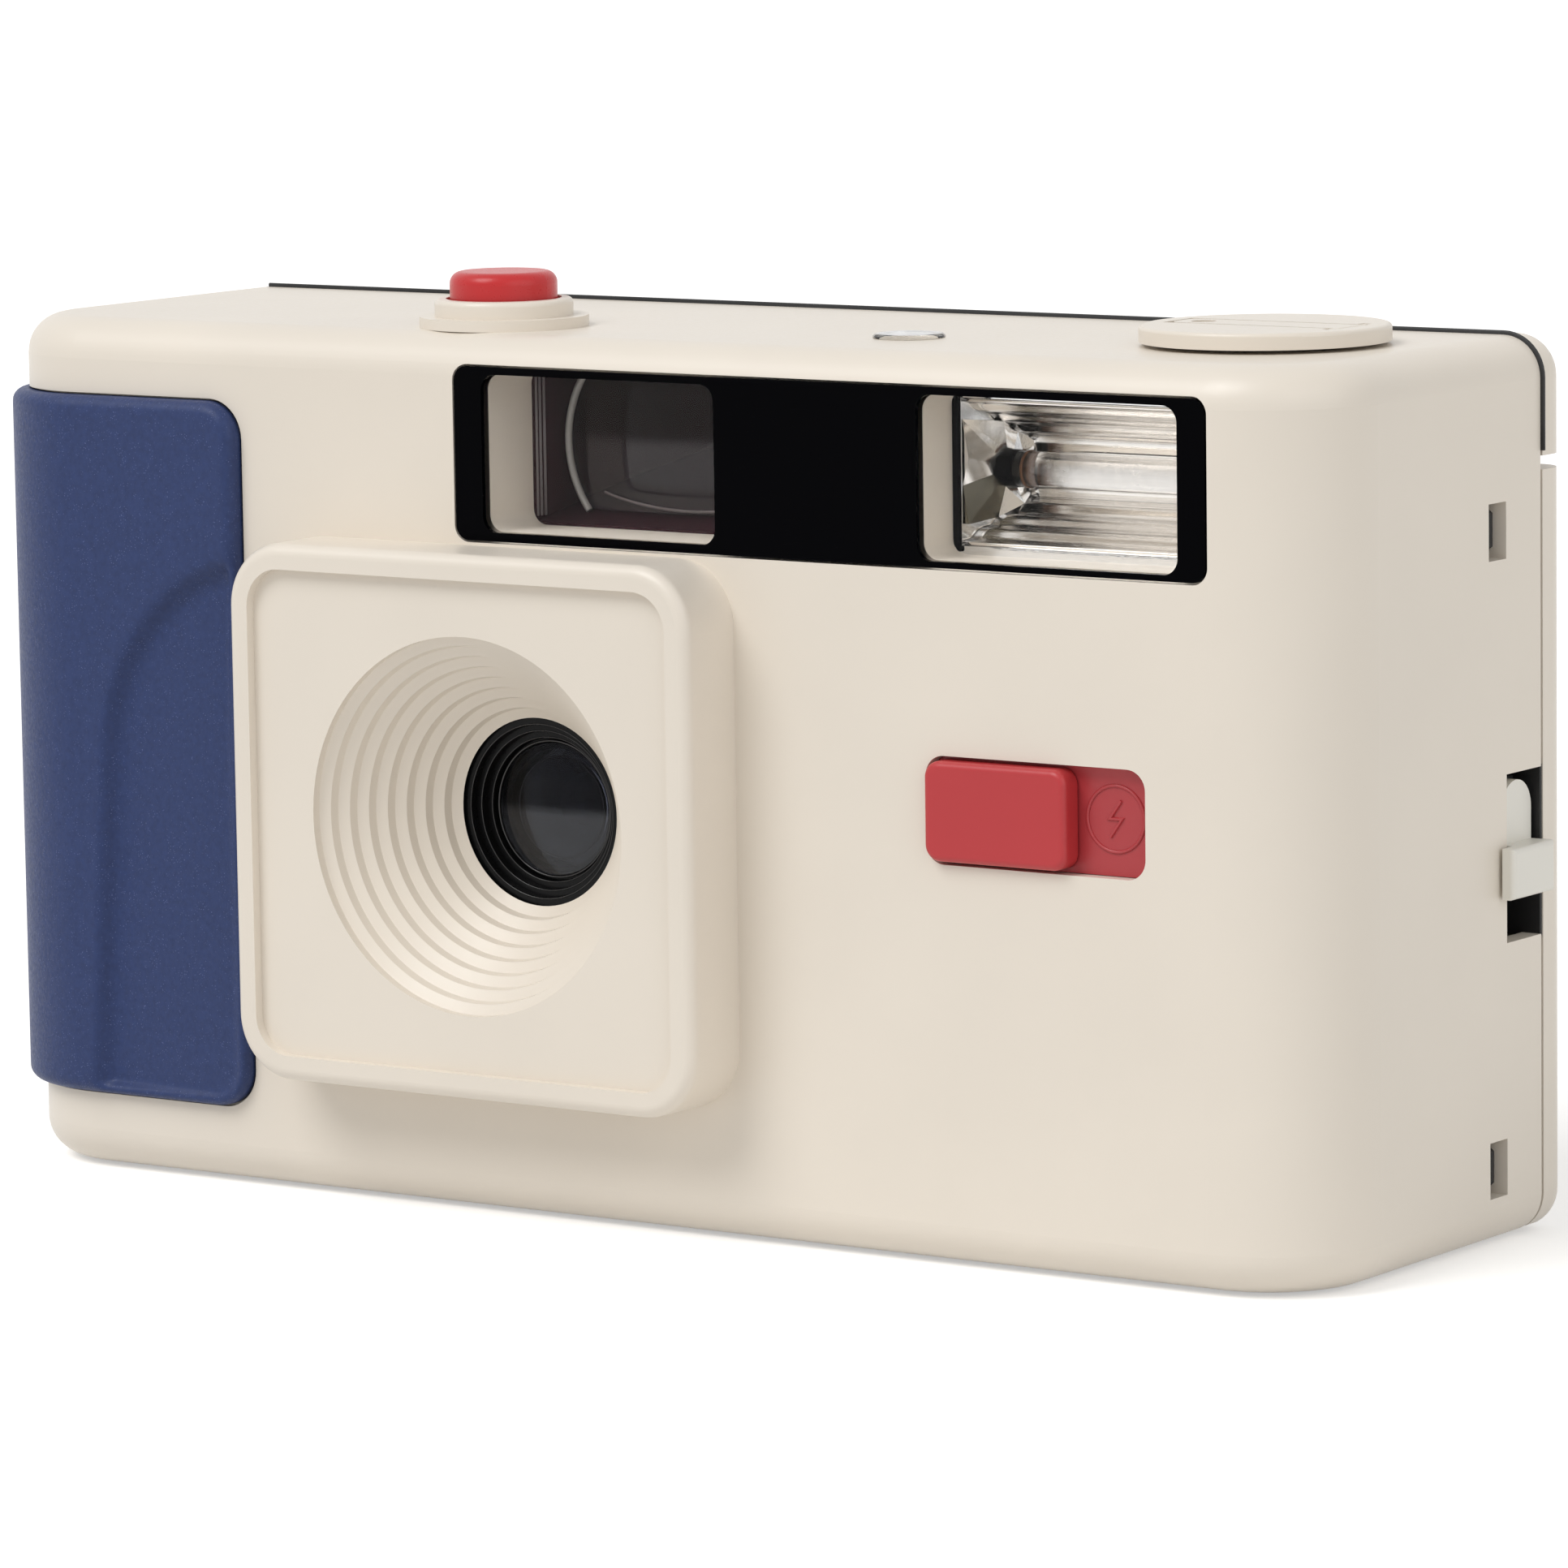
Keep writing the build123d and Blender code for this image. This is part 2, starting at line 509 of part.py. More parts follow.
# Lens barrel: stepped black mount with a square flange at the back and the fixed aperture
with BuildPart() as lens_barrel:
    with BuildSketch(LENS_SECTION) as mount:
        with BuildLine():
            outline = [(STOP_R, BARREL_REAR - FLANGE_T), (STOP_R, BARREL_REAR),
                       (BARREL_R, BARREL_REAR), (BARREL_R, BARREL_FRONT + 0.5),
                       (BARREL_R - 0.4, BARREL_FRONT)]
            for step in range(BARREL_STEPS):
                bore = CONE_END_R - 0.4 - step * BARREL_LEDGE
                outline.append((bore, BARREL_FRONT + step * BARREL_DROP))
                outline.append((bore - 0.1, BARREL_FRONT + (step + 1) * BARREL_DROP))
            outline += [(LENS_R + PIN_FIT, BARREL_FRONT + BARREL_STEPS * BARREL_DROP),
                        (LENS_R + PIN_FIT, BARREL_REAR - FLANGE_T)]
            Polyline(*outline, close=True)
        make_face()
    revolve(mount.sketch, axis=LENS_AXIS)
    slab(LENS_X - FLANGE / 2, LENS_X + FLANGE / 2, LENS_Z - FLANGE / 2, LENS_Z + FLANGE / 2,
         BARREL_REAR - FLANGE_T, BARREL_REAR, 3.0)
    rod((LENS_X, LENS_Z), STOP_R, BARREL_REAR - 2, BARREL_REAR + 1, Mode.SUBTRACT)
    rod(BLADE_PIVOT, BLADE_PIN_R, BARREL_REAR, BARREL_REAR + BLADE_ROOM)
finish(lens_barrel, "lens_barrel")


def half_way(radius, rim_y, bulge):
    """Point at half radius on a ball cap with a given bulge towards the front."""
    ball = (radius**2 + bulge**2) / (2 * abs(bulge))
    sag = ball - sqrt(ball**2 - radius**2 / 4)
    return (radius / 2, rim_y - bulge + (sag if bulge > 0 else -sag))


def lens(name, centre, radius, front_y, rear_y, front_bulge, rear_bulge):
    """Round glass whose two faces are ball caps; a bulge points forward when positive."""
    axis_plane = Plane((centre[0], 0, centre[1]))
    with BuildPart() as glass:
        with BuildSketch(axis_plane) as section:
            with BuildLine():
                edge_front, edge_rear = (radius, front_y), (radius, rear_y)
                front_face = ThreePointArc(edge_front, half_way(radius, front_y, front_bulge),
                                           (0, front_y - front_bulge))
                rear_face = ThreePointArc(edge_rear, half_way(radius, rear_y, rear_bulge),
                                          (0, rear_y - rear_bulge))
                Line(edge_front, edge_rear)
                Line(front_face @ 1, rear_face @ 1)
            make_face()
        revolve(section.sketch, axis=Axis((centre[0], 0, centre[1]), (0, 1, 0)))
    finish(glass, name)


REAR_RIM = LENS_FRONT + LENS_T + LENS_GAP
lens("front_lens", (LENS_X, LENS_Z), LENS_R, LENS_FRONT, LENS_FRONT + LENS_T, *LENS_BULGE)
lens("rear_lens", (LENS_X, LENS_Z), LENS_R, REAR_RIM, REAR_RIM + REAR_LENS_T, *REAR_LENS_BULGE)

# Threaded ring that keeps the front lens in
with BuildPart() as lens_ring:
    rod((LENS_X, LENS_Z), LENS_R, LENS_FRONT - RUN - LENS_RING[1], LENS_FRONT - RUN)
    rod((LENS_X, LENS_Z), LENS_R - LENS_RING[0], FRONT, LENS_FRONT, Mode.SUBTRACT)
finish(lens_ring, "lens_ring")

# Shutter blade: a sector that covers the aperture and swings aside on its pivot
with BuildPart() as shutter_blade:
    rod((LENS_X, LENS_Z), STOP_R + BLADE_LAP, BLADE_Y, BLADE_Y + BLADE_T)
    rod(BLADE_PIVOT, BLADE_HUB_R, BLADE_Y, BLADE_Y + BLADE_T)
    with BuildSketch(facing(BLADE_Y + BLADE_T)) as arm:
        SlotCenterToCenter(hypot(BLADE_PIVOT[0] - LENS_X, BLADE_PIVOT[1] - LENS_Z), BLADE_ARM_W)
    arm_mid = ((BLADE_PIVOT[0] + LENS_X) / 2, 0, (BLADE_PIVOT[1] + LENS_Z) / 2)
    slant = degrees(atan2(BLADE_PIVOT[1] - LENS_Z, BLADE_PIVOT[0] - LENS_X))
    arm_face = arm.sketch.rotate(Axis((0, 0, 0), (0, -1, 0)), slant).translate(arm_mid)
    extrude(arm_face, amount=BLADE_T)
    rod(BLADE_PIVOT, BLADE_PIN_R + PIN_FIT, BARREL_REAR - 1, BARREL_REAR + 2, Mode.SUBTRACT)
finish(shutter_blade, "shutter_blade")

# Light box: the dark funnel from the shutter to the film frame
with BuildPart() as light_box:
    frustum(BOX_FRONT, BOX_Y, BOX_REAR, GATE_FRONT, BOX_WALL)
    frustum(BOX_FRONT, BOX_Y + BOX_WALL, BOX_REAR, GATE_FRONT, 0, Mode.SUBTRACT)
    rod((LENS_X, LENS_Z), BOX_HOLE_R, BOX_Y - 1, BOX_Y + BOX_WALL + 1, Mode.SUBTRACT)
    rod(BLADE_PIVOT, BLADE_PIN_R + RUN, BOX_Y - 1, BOX_Y + 2, Mode.SUBTRACT)
finish(light_box, "light_box")

# Film gate: frame opening, two inner rails, two outer guide rails and the sprocket's slot
with BuildPart() as film_gate:
    slab(*GATE, GATE_FRONT, GATE_REAR)
    for side in (-1, 1):
        for reach, size, top in ((FRAME_H / 2 + INNER_RAIL[0], INNER_RAIL[1], FILM_PLANE),
                                 (FILM_W / 2 + OUTER_RAIL[0], OUTER_RAIL[1],
                                  FILM_PLANE + OUTER_RAIL[2])):
            rail = LENS_Z + side * reach
            slab(GATE[0] + RAIL_ENDS[0], GATE[1] - RAIL_ENDS[1], rail - size / 2, rail + size / 2,
                 GATE_REAR, top)
    slab(*BOX_REAR, GATE_FRONT - 1, GATE_REAR + 2, 0, Mode.SUBTRACT)
    sprocket_room = SPROCKET_R + TOOTH[1] + RUN
    slab(SPROCKET_X - sprocket_room, SPROCKET_X + sprocket_room, PERF_Z - SPROCKET_T / 2 - 2 * RUN,
         PERF_Z + SPROCKET_T / 2 + 2 * RUN, GATE_FRONT - 1, GATE_REAR + 2, 0, Mode.SUBTRACT)
    for place in GATE_SCREWS:
        rod(place, SCREW_R + FIT, GATE_FRONT - 1, GATE_REAR + 2, Mode.SUBTRACT)
        rod(place, SCREW_HEAD_R + RUN, GATE_REAR - SCREW_HEAD_T, GATE_REAR + 2, Mode.SUBTRACT)
finish(film_gate, "film_gate")


def screws(name, places, seat_y):
    """Pan-head screws that point forward, all in one piece list entry."""
    with BuildPart() as group:
        for place in places:
            rod(place, SCREW_HEAD_R, seat_y, seat_y + SCREW_HEAD_T - PIN_FIT)
            rod(place, SCREW_R - PIN_FIT, seat_y - SCREW_L, seat_y)
            long, wide, deep = SCREW_SLIT
            slab(place[0] - long / 2, place[0] + long / 2, place[1] - wide / 2, place[1] + wide / 2,
                 seat_y + SCREW_HEAD_T - deep, seat_y + SCREW_HEAD_T, 0, Mode.SUBTRACT)
    finish(group, name)


screws("gate_screws", GATE_SCREWS, GATE_REAR - SCREW_HEAD_T)
screws("board_screws", BOARD_POSTS, BOARD_Y + BOARD_T)

# Film chambers: upright tubes open to the back, standing on the shell's floor
with BuildPart() as cartridge_chamber:
    disc(REWIND, CARTRIDGE_R + BOX_WALL, WALL, CHAMBER_TOP)
    disc(REWIND, CARTRIDGE_R, CHAMBER_FLOOR, CHAMBER_TOP - BOX_WALL, Mode.SUBTRACT)
    disc(REWIND, CARTRIDGE_R, 0, CHAMBER_FLOOR - BOX_WALL, Mode.SUBTRACT)
    disc(REWIND, HUB_HOLE_R, CHAMBER_FLOOR - 2, CHAMBER_FLOOR + 1, Mode.SUBTRACT)
    disc(REWIND, REWIND_SHAFT_R + PIN_FIT, CHAMBER_TOP - 2, CHAMBER_TOP + 1, Mode.SUBTRACT)
    deck(0, WIDTH, GATE_FRONT - RUN, REAR, 0, HEIGHT, mode=Mode.SUBTRACT)
    deck(LATCH_BAR_X[0] - RUN, WIDTH, FRONT, REAR, 0, HEIGHT, mode=Mode.SUBTRACT)
    deck(0, WIDTH, FRONT, REFLECTOR_BACK + RUN, FLASH_WINDOW[2] - TUNNEL_WALL - BOX_WALL, HEIGHT,
         mode=Mode.SUBTRACT)
finish(cartridge_chamber, "cartridge_chamber")

with BuildPart() as takeup_chamber:
    disc(SPOOL, SPOOL_ROOM_R + BOX_WALL, WALL, PLATE_Z)
    disc(SPOOL, SPOOL_ROOM_R, CHAMBER_FLOOR, HEIGHT, Mode.SUBTRACT)
    disc(SPOOL, SPOOL_ROOM_R, 0, CHAMBER_FLOOR - BOX_WALL, Mode.SUBTRACT)
    disc(SPOOL, SHAFT_R + PIN_FIT, 0, HEIGHT, Mode.SUBTRACT)
    deck(-WIDTH, 0, GATE_FRONT - RUN, REAR, 0, HEIGHT, mode=Mode.SUBTRACT)
    deck(SPOOL[0], 0, SPOOL[1] + BOX_WALL, REAR, CHAMBER_FLOOR, HEIGHT, mode=Mode.SUBTRACT)
finish(takeup_chamber, "takeup_chamber")

# Transport plate over the take-up chamber: it carries the spool, the sprocket and the wheel
with BuildPart() as transport_plate:
    deck(-INNER_W + RUN, SPROCKET_X + 8, SPOOL[1] - SPOOL_ROOM_R, GATE_FRONT + 3, PLATE_Z,
         PLATE_Z + PLATE_T, 3.0)
    disc(SPOOL, SHAFT_R + PIN_FIT, 0, HEIGHT, Mode.SUBTRACT)
    disc(SPROCKET, SPROCKET_PIN_R + PIN_FIT, 0, HEIGHT, Mode.SUBTRACT)
    disc(WHEEL, WHEEL_PIN_R + PIN_FIT, 0, HEIGHT, Mode.SUBTRACT)
finish(transport_plate, "transport_plate")

# Take-up spool: slotted core, two flanges and the gear above the plate
with BuildPart() as takeup_spool:
    disc(SPOOL, SPOOL_R, CHAMBER_FLOOR + RUN, PLATE_Z - RUN)
    for side in (-1, 1):
        flange = LENS_Z + side * (FILM_W / 2 + 2 * RUN + SPOOL_FLANGE_T / 2)
        disc(SPOOL, SPOOL_FLANGE_R, flange - SPOOL_FLANGE_T / 2, flange + SPOOL_FLANGE_T / 2)
    disc(SPOOL, SHAFT_R, CHAMBER_FLOOR - BOX_WALL, GEAR_Z + GEAR_T)
    disc(SPOOL, GEAR_R, GEAR_Z, GEAR_Z + GEAR_T)
    for turn in range(SPOOL_SLOTS):
        with BuildSketch(Plane.XY.offset(LENS_Z - FILM_W / 2)) as slit:
            with Locations(Location((*SPOOL, 0), turn * 360 / SPOOL_SLOTS)):
                with Locations((SPOOL_R, 0)):
                    Rectangle(*SPOOL_SLOT)
        extrude(slit.sketch, amount=FILM_W, mode=Mode.SUBTRACT)
finish(takeup_spool, "takeup_spool")

# Sprocket: a short toothed wheel whose teeth take the film's perforations
with BuildPart() as sprocket:
    disc(SPROCKET, SPROCKET_R, PERF_Z - SPROCKET_T / 2, PERF_Z + SPROCKET_T / 2)
    disc(SPROCKET, SPROCKET_PIN_R, PERF_Z - SPROCKET_T / 2, PLATE_Z + PLATE_T + 1.0)
    with BuildSketch(Plane.XY.offset(PERF_Z - TOOTH[2] / 2)) as teeth:
        with Locations(SPROCKET):
            with PolarLocations(SPROCKET_R, SPROCKET_TEETH, start_angle=180 / SPROCKET_TEETH):
                Trapezoid(TOOTH[0], TOOTH[1], TOOTH_SLOPE, rotation=-90)
    extrude(teeth.sketch, amount=TOOTH[2])
finish(sprocket, "sprocket")

# Thumb wheel: knurled rim at the back, pinion and pin below
with BuildPart() as advance_wheel:
    disc(WHEEL, WHEEL_R, WHEEL_Z, WHEEL_Z + WHEEL_T)
    with BuildSketch(Plane.XY.offset(WHEEL_Z)) as grips:
        with Locations(WHEEL):
            with PolarLocations(WHEEL_R + WHEEL_GRIP_R / 3, WHEEL_GRIPS):
                Circle(WHEEL_GRIP_R)
    extrude(grips.sketch, amount=WHEEL_T, mode=Mode.SUBTRACT)
    disc(WHEEL, GEAR_R, GEAR_Z, WHEEL_Z)
    disc(WHEEL, WHEEL_PIN_R, PLATE_Z - 1.0, GEAR_Z)
    disc(WHEEL, WHEEL_R - WHEEL_RIM, WHEEL_Z + WHEEL_T - 0.8, HEIGHT, Mode.SUBTRACT)
finish(advance_wheel, "advance_wheel")

# Frame counter: numbered disc on a pin under the top, seen through a small clear window
with BuildPart() as counter_disc:
    disc(COUNTER, COUNTER_R, COUNTER_Z, COUNTER_Z + COUNTER_T)
    disc(COUNTER, COUNTER_PIN_R + 0.7, COUNTER_Z - 0.6, COUNTER_Z)
    disc(COUNTER, COUNTER_PIN_R + PIN_FIT, 0, HEIGHT, Mode.SUBTRACT)
finish(counter_disc, "counter_disc")

with BuildPart() as counter_window:
    disc(COUNTER_WINDOW, COUNTER_HOLE_R, CEILING + PIN_FIT, HEIGHT)
    disc(COUNTER_WINDOW, COUNTER_WINDOW_R, HEIGHT, HEIGHT + COUNTER_PROUD)
    fillet(counter_window.edges().group_by(Axis.Z)[-1], COUNTER_PROUD - PIN_FIT)
finish(counter_window, "counter_window")

# Rewind knob: disc on the top, shaft through the roof and a fork for the cartridge hub
with BuildPart() as rewind_knob:
    disc(REWIND, REWIND_R, HEIGHT + RUN, HEIGHT + RUN + REWIND_T)
    fillet(rewind_knob.edges().group_by(Axis.Z)[-1], REWIND_T / 4)
    disc(REWIND, REWIND_SHAFT_R, FORK_BOTTOM, HEIGHT + RUN)
    deck(REWIND[0] - FORK_SLOT[0] / 2, REWIND[0] + FORK_SLOT[0] / 2, REWIND[1] - 5, REWIND[1] + 5,
         FORK_BOTTOM, FORK_BOTTOM + FORK_SLOT[1], mode=Mode.SUBTRACT)
    deck(REWIND[0] - CRANK_L / 2 - RUN, REWIND[0] + CRANK_L / 2 + RUN, REWIND[1] - CRANK_W / 2 - RUN,
         REWIND[1] + CRANK_W / 2 + RUN, CRANK_Z - CRANK_SUNK, HEIGHT + 5, mode=Mode.SUBTRACT)
    rod(CRANK_AXIS, CRANK_PIN_R + PIN_FIT, REWIND[1] - CRANK_PIN_L / 2 - RUN,
        REWIND[1] + CRANK_PIN_L / 2 + RUN, Mode.SUBTRACT)
    deck(CRANK_AXIS[0] - CRANK_PIN_R - PIN_FIT, CRANK_AXIS[0] + CRANK_PIN_R + PIN_FIT,
         REWIND[1] - CRANK_PIN_L / 2 - RUN, REWIND[1] + CRANK_PIN_L / 2 + RUN, CRANK_AXIS[1],
         HEIGHT + 5, mode=Mode.SUBTRACT)
finish(rewind_knob, "rewind_knob")

with BuildPart() as rewind_crank:
    deck(REWIND[0] - CRANK_L / 2, CRANK_AXIS[0], REWIND[1] - CRANK_W / 2,
         REWIND[1] + CRANK_W / 2, CRANK_Z, CRANK_Z + CRANK_T)
    fillet(rewind_crank.edges().filter_by(Axis.Z).group_by(Axis.X)[0], 1.0)
    rod(CRANK_AXIS, CRANK_PIN_R, REWIND[1] - CRANK_PIN_L / 2, REWIND[1] + CRANK_PIN_L / 2)
    disc((REWIND[0] - CRANK_L / 2 + CRANK_EYE[0], REWIND[1]), CRANK_EYE[1], CRANK_Z - 1, HEIGHT + 5,
         Mode.SUBTRACT)
finish(rewind_crank, "rewind_crank")

# Shutter button and the stepped collar that guides it
with BuildPart() as button_collar:
    disc(BUTTON, COLLAR_BASE_R, HEIGHT, HEIGHT + COLLAR_BASE_T)
    disc(BUTTON, COLLAR_R, HEIGHT + COLLAR_BASE_T, COLLAR_TOP)
    fillet(button_collar.edges().group_by(Axis.Z)[-1], 0.4)
    disc(BUTTON, COLLAR_R - COLLAR_STEP, CEILING + PIN_FIT, HEIGHT)
    disc(BUTTON, BUTTON_R + RUN, CEILING + PIN_FIT + COLLAR_FLOOR_T, HEIGHT + 5, Mode.SUBTRACT)
    disc(BUTTON, STEM_R + PIN_FIT, 0, HEIGHT, Mode.SUBTRACT)
finish(button_collar, "button_collar")

with BuildPart() as shutter_button:
    disc(BUTTON, BUTTON_R, BUTTON_BOTTOM, BUTTON_TOP)
    fillet(shutter_button.edges().group_by(Axis.Z)[-1], 0.9)
    disc(BUTTON, STEM_R, STEM_BOTTOM, BUTTON_BOTTOM)
finish(shutter_button, "shutter_button")

# Flash switch: fixed plate let into the slot, and the knob that slides over it
with BuildPart() as switch_plate:
    slab(*grown(SLOT, SWITCH_FLANGE), INNER_FRONT, INNER_FRONT + SWITCH_FLANGE_T, SLOT_CORNER)
    slab(*grown(SLOT, -PIN_FIT), SWITCH_FLOOR, INNER_FRONT, SLOT_CORNER - PIN_FIT)
    slab(KNOB_X + KNOB_STEM_X, KNOB_X + KNOB_STEM_X + KNOB_STEM[0] + SWITCH_TRAVEL + 2 * RUN,
         SWITCH_MID - KNOB_STEM[1] / 2 - FIT, SWITCH_MID + KNOB_STEM[1] / 2 + FIT, FRONT, REAR, 0,
         Mode.SUBTRACT)
finish(switch_plate, "switch_plate")

with BuildPart() as flash_switch:
    slab(KNOB_X, KNOB_X + KNOB_W, SLOT[2] + RUN, SLOT[3] - RUN, FRONT - KNOB_PROUD,
         SWITCH_FLOOR - RUN / 2, SLOT_CORNER - RUN)
    fillet(flash_switch.faces().sort_by(Axis.Y)[0].edges(), KNOB_EDGE)
    stem = KNOB_X + KNOB_STEM_X + RUN
    slab(stem, stem + KNOB_STEM[0], SWITCH_MID - KNOB_STEM[1] / 2, SWITCH_MID + KNOB_STEM[1] / 2,
         SWITCH_FLOOR - RUN / 2, INNER_FRONT + 2 * SWITCH_FLANGE_T)
finish(flash_switch, "flash_switch")

# Viewfinder: black funnel between the front lens and the eyepiece
FINDER_FRONT = grown(FINDER_WINDOW, -TUBE_INSET)
with BuildPart() as finder_tube:
    tube_front = FRONT + FINDER_TUNNEL
    frustum(FINDER_FRONT, tube_front, EYE, SEAM - RUN, TUBE_WALL)
    frustum(FINDER_FRONT, tube_front, EYE, SEAM - RUN, 0, Mode.SUBTRACT)
finish(finder_tube, "finder_tube")

with BuildPart() as finder_lens:
    slab(FINDER_LENS[0] - FINDER_LENS_FOOT, FINDER_LENS[0] + FINDER_LENS_FOOT, FINDER_WINDOW[2],
         FINDER_WINDOW[3], FINDER_LENS_Y, FINDER_LENS_Y + FINDER_LENS_T[0])
    rod(FINDER_LENS, FINDER_LENS_R, FINDER_LENS_Y - FINDER_LENS_T[1], FINDER_LENS_Y)
    slab(*grown(FINDER_WINDOW, -2 * TUBE_WALL), FRONT, REAR, 0, Mode.INTERSECT)
finish(finder_lens, "finder_lens")

with BuildPart() as eyepiece:
    slab(*grown(EYE, -FIT), SEAM + RUN, REAR - 2 * RUN, EYE_CORNER)
finish(eyepiece, "eyepiece")

# Flash: bright reflector, glass tube across it, circuit board and storage capacitor
REFLECTOR_FRONT = grown(FLASH_WINDOW, -REFLECTOR_T)
REFLECTOR_REAR = (FLASH_WINDOW[0] + REFLECTOR_DRAFT, FLASH_WINDOW[1] - REFLECTOR_DRAFT,
                  FLASH_Z - REFLECTOR_END_H / 2, FLASH_Z + REFLECTOR_END_H / 2)
with BuildPart() as flash_reflector:
    dish_front = FRONT + FLASH_TUNNEL
    frustum(REFLECTOR_FRONT, dish_front, REFLECTOR_REAR, REFLECTOR_BACK, REFLECTOR_T)
    frustum(REFLECTOR_FRONT, dish_front, REFLECTOR_REAR, REFLECTOR_BACK - REFLECTOR_T, 0,
            Mode.SUBTRACT)
    with BuildSketch(Plane.YZ.offset(FLASH_WINDOW[0] - 1)) as hole:
        with Locations((TUBE_Y, FLASH_Z)):
            Circle(TUBE_R + PIN_FIT)
    extrude(hole.sketch, amount=FLASH_WINDOW[1] - FLASH_WINDOW[0] + 2, mode=Mode.SUBTRACT)
finish(flash_reflector, "flash_reflector")

with BuildPart() as flash_tube:
    with BuildSketch(Plane.YZ.offset(FLASH_WINDOW[0] + TUBE_END_GAP)) as section:
        with Locations((TUBE_Y, FLASH_Z)):
            Circle(TUBE_R)
    extrude(section.sketch, amount=FLASH_WINDOW[1] - FLASH_WINDOW[0] - 2 * TUBE_END_GAP)
finish(flash_tube, "flash_tube")

with BuildPart() as flash_board:
    slab(*BOARD, BOARD_Y, BOARD_Y + BOARD_T)
    for place in BOARD_POSTS:
        rod(place, SCREW_R + FIT, BOARD_Y - 1, BOARD_Y + BOARD_T + 1, Mode.SUBTRACT)
finish(flash_board, "flash_board")

with BuildPart() as flash_capacitor:
    disc(CAPACITOR, CAPACITOR_R, CAPACITOR_Z, CAPACITOR_Z + CAPACITOR_H)
    fillet(flash_capacitor.edges().group_by(Axis.Z)[-1], CAPACITOR_R / 8)
finish(flash_capacitor, "flash_capacitor")

# Battery bay: tray for one small cell lying across the body, its two contacts and the hatch
with BuildPart() as battery_tray:
    tray = (HATCH_BOX[0] - RUN, HATCH_BOX[1] + RUN, HATCH_BOX[2] - RUN, HATCH_BOX[3] + RUN)
    tray_top = BATTERY_Z + BATTERY_R + BATTERY_PLAY
    deck(tray[0] - TRAY_T, tray[1] + TRAY_T, tray[2] - TRAY_T, tray[3] + TRAY_T, WALL,
         tray_top + TRAY_T)
    deck(*tray, 0, tray_top, mode=Mode.SUBTRACT)
finish(battery_tray, "battery_tray")

with BuildPart() as battery_contacts:
    for end, inward in ((tray[0], 1), (tray[1], -1)):
        near, far = sorted((end, end + inward * CONTACT[2]))
        deck(near, far, BATTERY[1] - CONTACT[0] / 2, BATTERY[1] + CONTACT[0] / 2,
             BATTERY_Z - CONTACT[1] / 2, BATTERY_Z + CONTACT[1] / 2)
finish(battery_contacts, "battery_contacts")

with BuildPart() as battery_hatch:
    deck(HATCH_BOX[0] + RUN, HATCH_BOX[1] - RUN, HATCH_BOX[2] + RUN, HATCH_AXIS[0], 0, HATCH_T)
    for end, length, radius in ((HATCH_BOX[0] + RUN, HATCH_BOX[1] - HATCH_BOX[0] - 2 * RUN,
                                 HATCH_T / 2),
                                (HATCH_BOX[0] - HATCH_PIN_L,
                                 HATCH_BOX[1] - HATCH_BOX[0] + 2 * HATCH_PIN_L, HATCH_PIN_R)):
        with BuildSketch(Plane.YZ.offset(end)) as barrel:
            with Locations(HATCH_AXIS):
                Circle(radius)
        extrude(barrel.sketch, amount=length)
    pull_y = HATCH_BOX[2] + HATCH_PIN_L
    deck(BATTERY[0] - HATCH_PULL[0] / 2, BATTERY[0] + HATCH_PULL[0] / 2, pull_y, pull_y + HATCH_PULL[1],
         -1, HATCH_PULL[2], mode=Mode.SUBTRACT)
finish(battery_hatch, "battery_hatch")

# Rewind release: small recessed button in the floor
with BuildPart() as rewind_release:
    flange_z = WALL + PIN_FIT
    disc(RELEASE, RELEASE_R, RELEASE_SUNK, flange_z)
    disc(RELEASE, RELEASE_R + RELEASE_FLANGE[0], flange_z, flange_z + RELEASE_FLANGE[1])
    disc(RELEASE, RELEASE_STEM[0], flange_z + RELEASE_FLANGE[1],
         flange_z + RELEASE_FLANGE[1] + RELEASE_STEM[1])
finish(rewind_release, "rewind_release")

# Fixed rear cover: strip above the door with the eyepiece window and the thumb wheel's slot
with BuildPart() as rear_cover:
    slab(-WIDTH / 2, WIDTH / 2, 0, HEIGHT, DOOR_FRONT, REAR, EDGE)
    fillet(rear_cover.faces().sort_by(Axis.Y)[-1].edges(), REAR_EDGE)
    deck(-WIDTH, WIDTH, FRONT, REAR + 1, -1, SPLIT, mode=Mode.SUBTRACT)
    slab(-INNER_W + 4.5, INNER_W - 1.5, SPLIT + 1.2, CEILING, DOOR_FRONT - 1, REAR - DOOR_WALL, 0,
         Mode.SUBTRACT)
    slab(*grown(EYE, EYE_FRAME), DOOR_FRONT, REAR - DOOR_WALL)
    slab(*EYE, DOOR_FRONT - 1, REAR + 1, EYE_CORNER, Mode.SUBTRACT)
    disc(WHEEL, WHEEL_R + RUN, WHEEL_Z - RUN, WHEEL_Z + WHEEL_T + RUN, Mode.SUBTRACT)
    disc(HINGE, HINGE_PIN_R + PIN_FIT, SPLIT - 1, SPLIT + 3, Mode.SUBTRACT)
finish(rear_cover, "rear_cover")

with BuildPart() as hinge_pin:
    disc(HINGE, HINGE_PIN_R, DOOR_BOTTOM + 0.8, SPLIT + 2.6)
finish(hinge_pin, "hinge_pin")

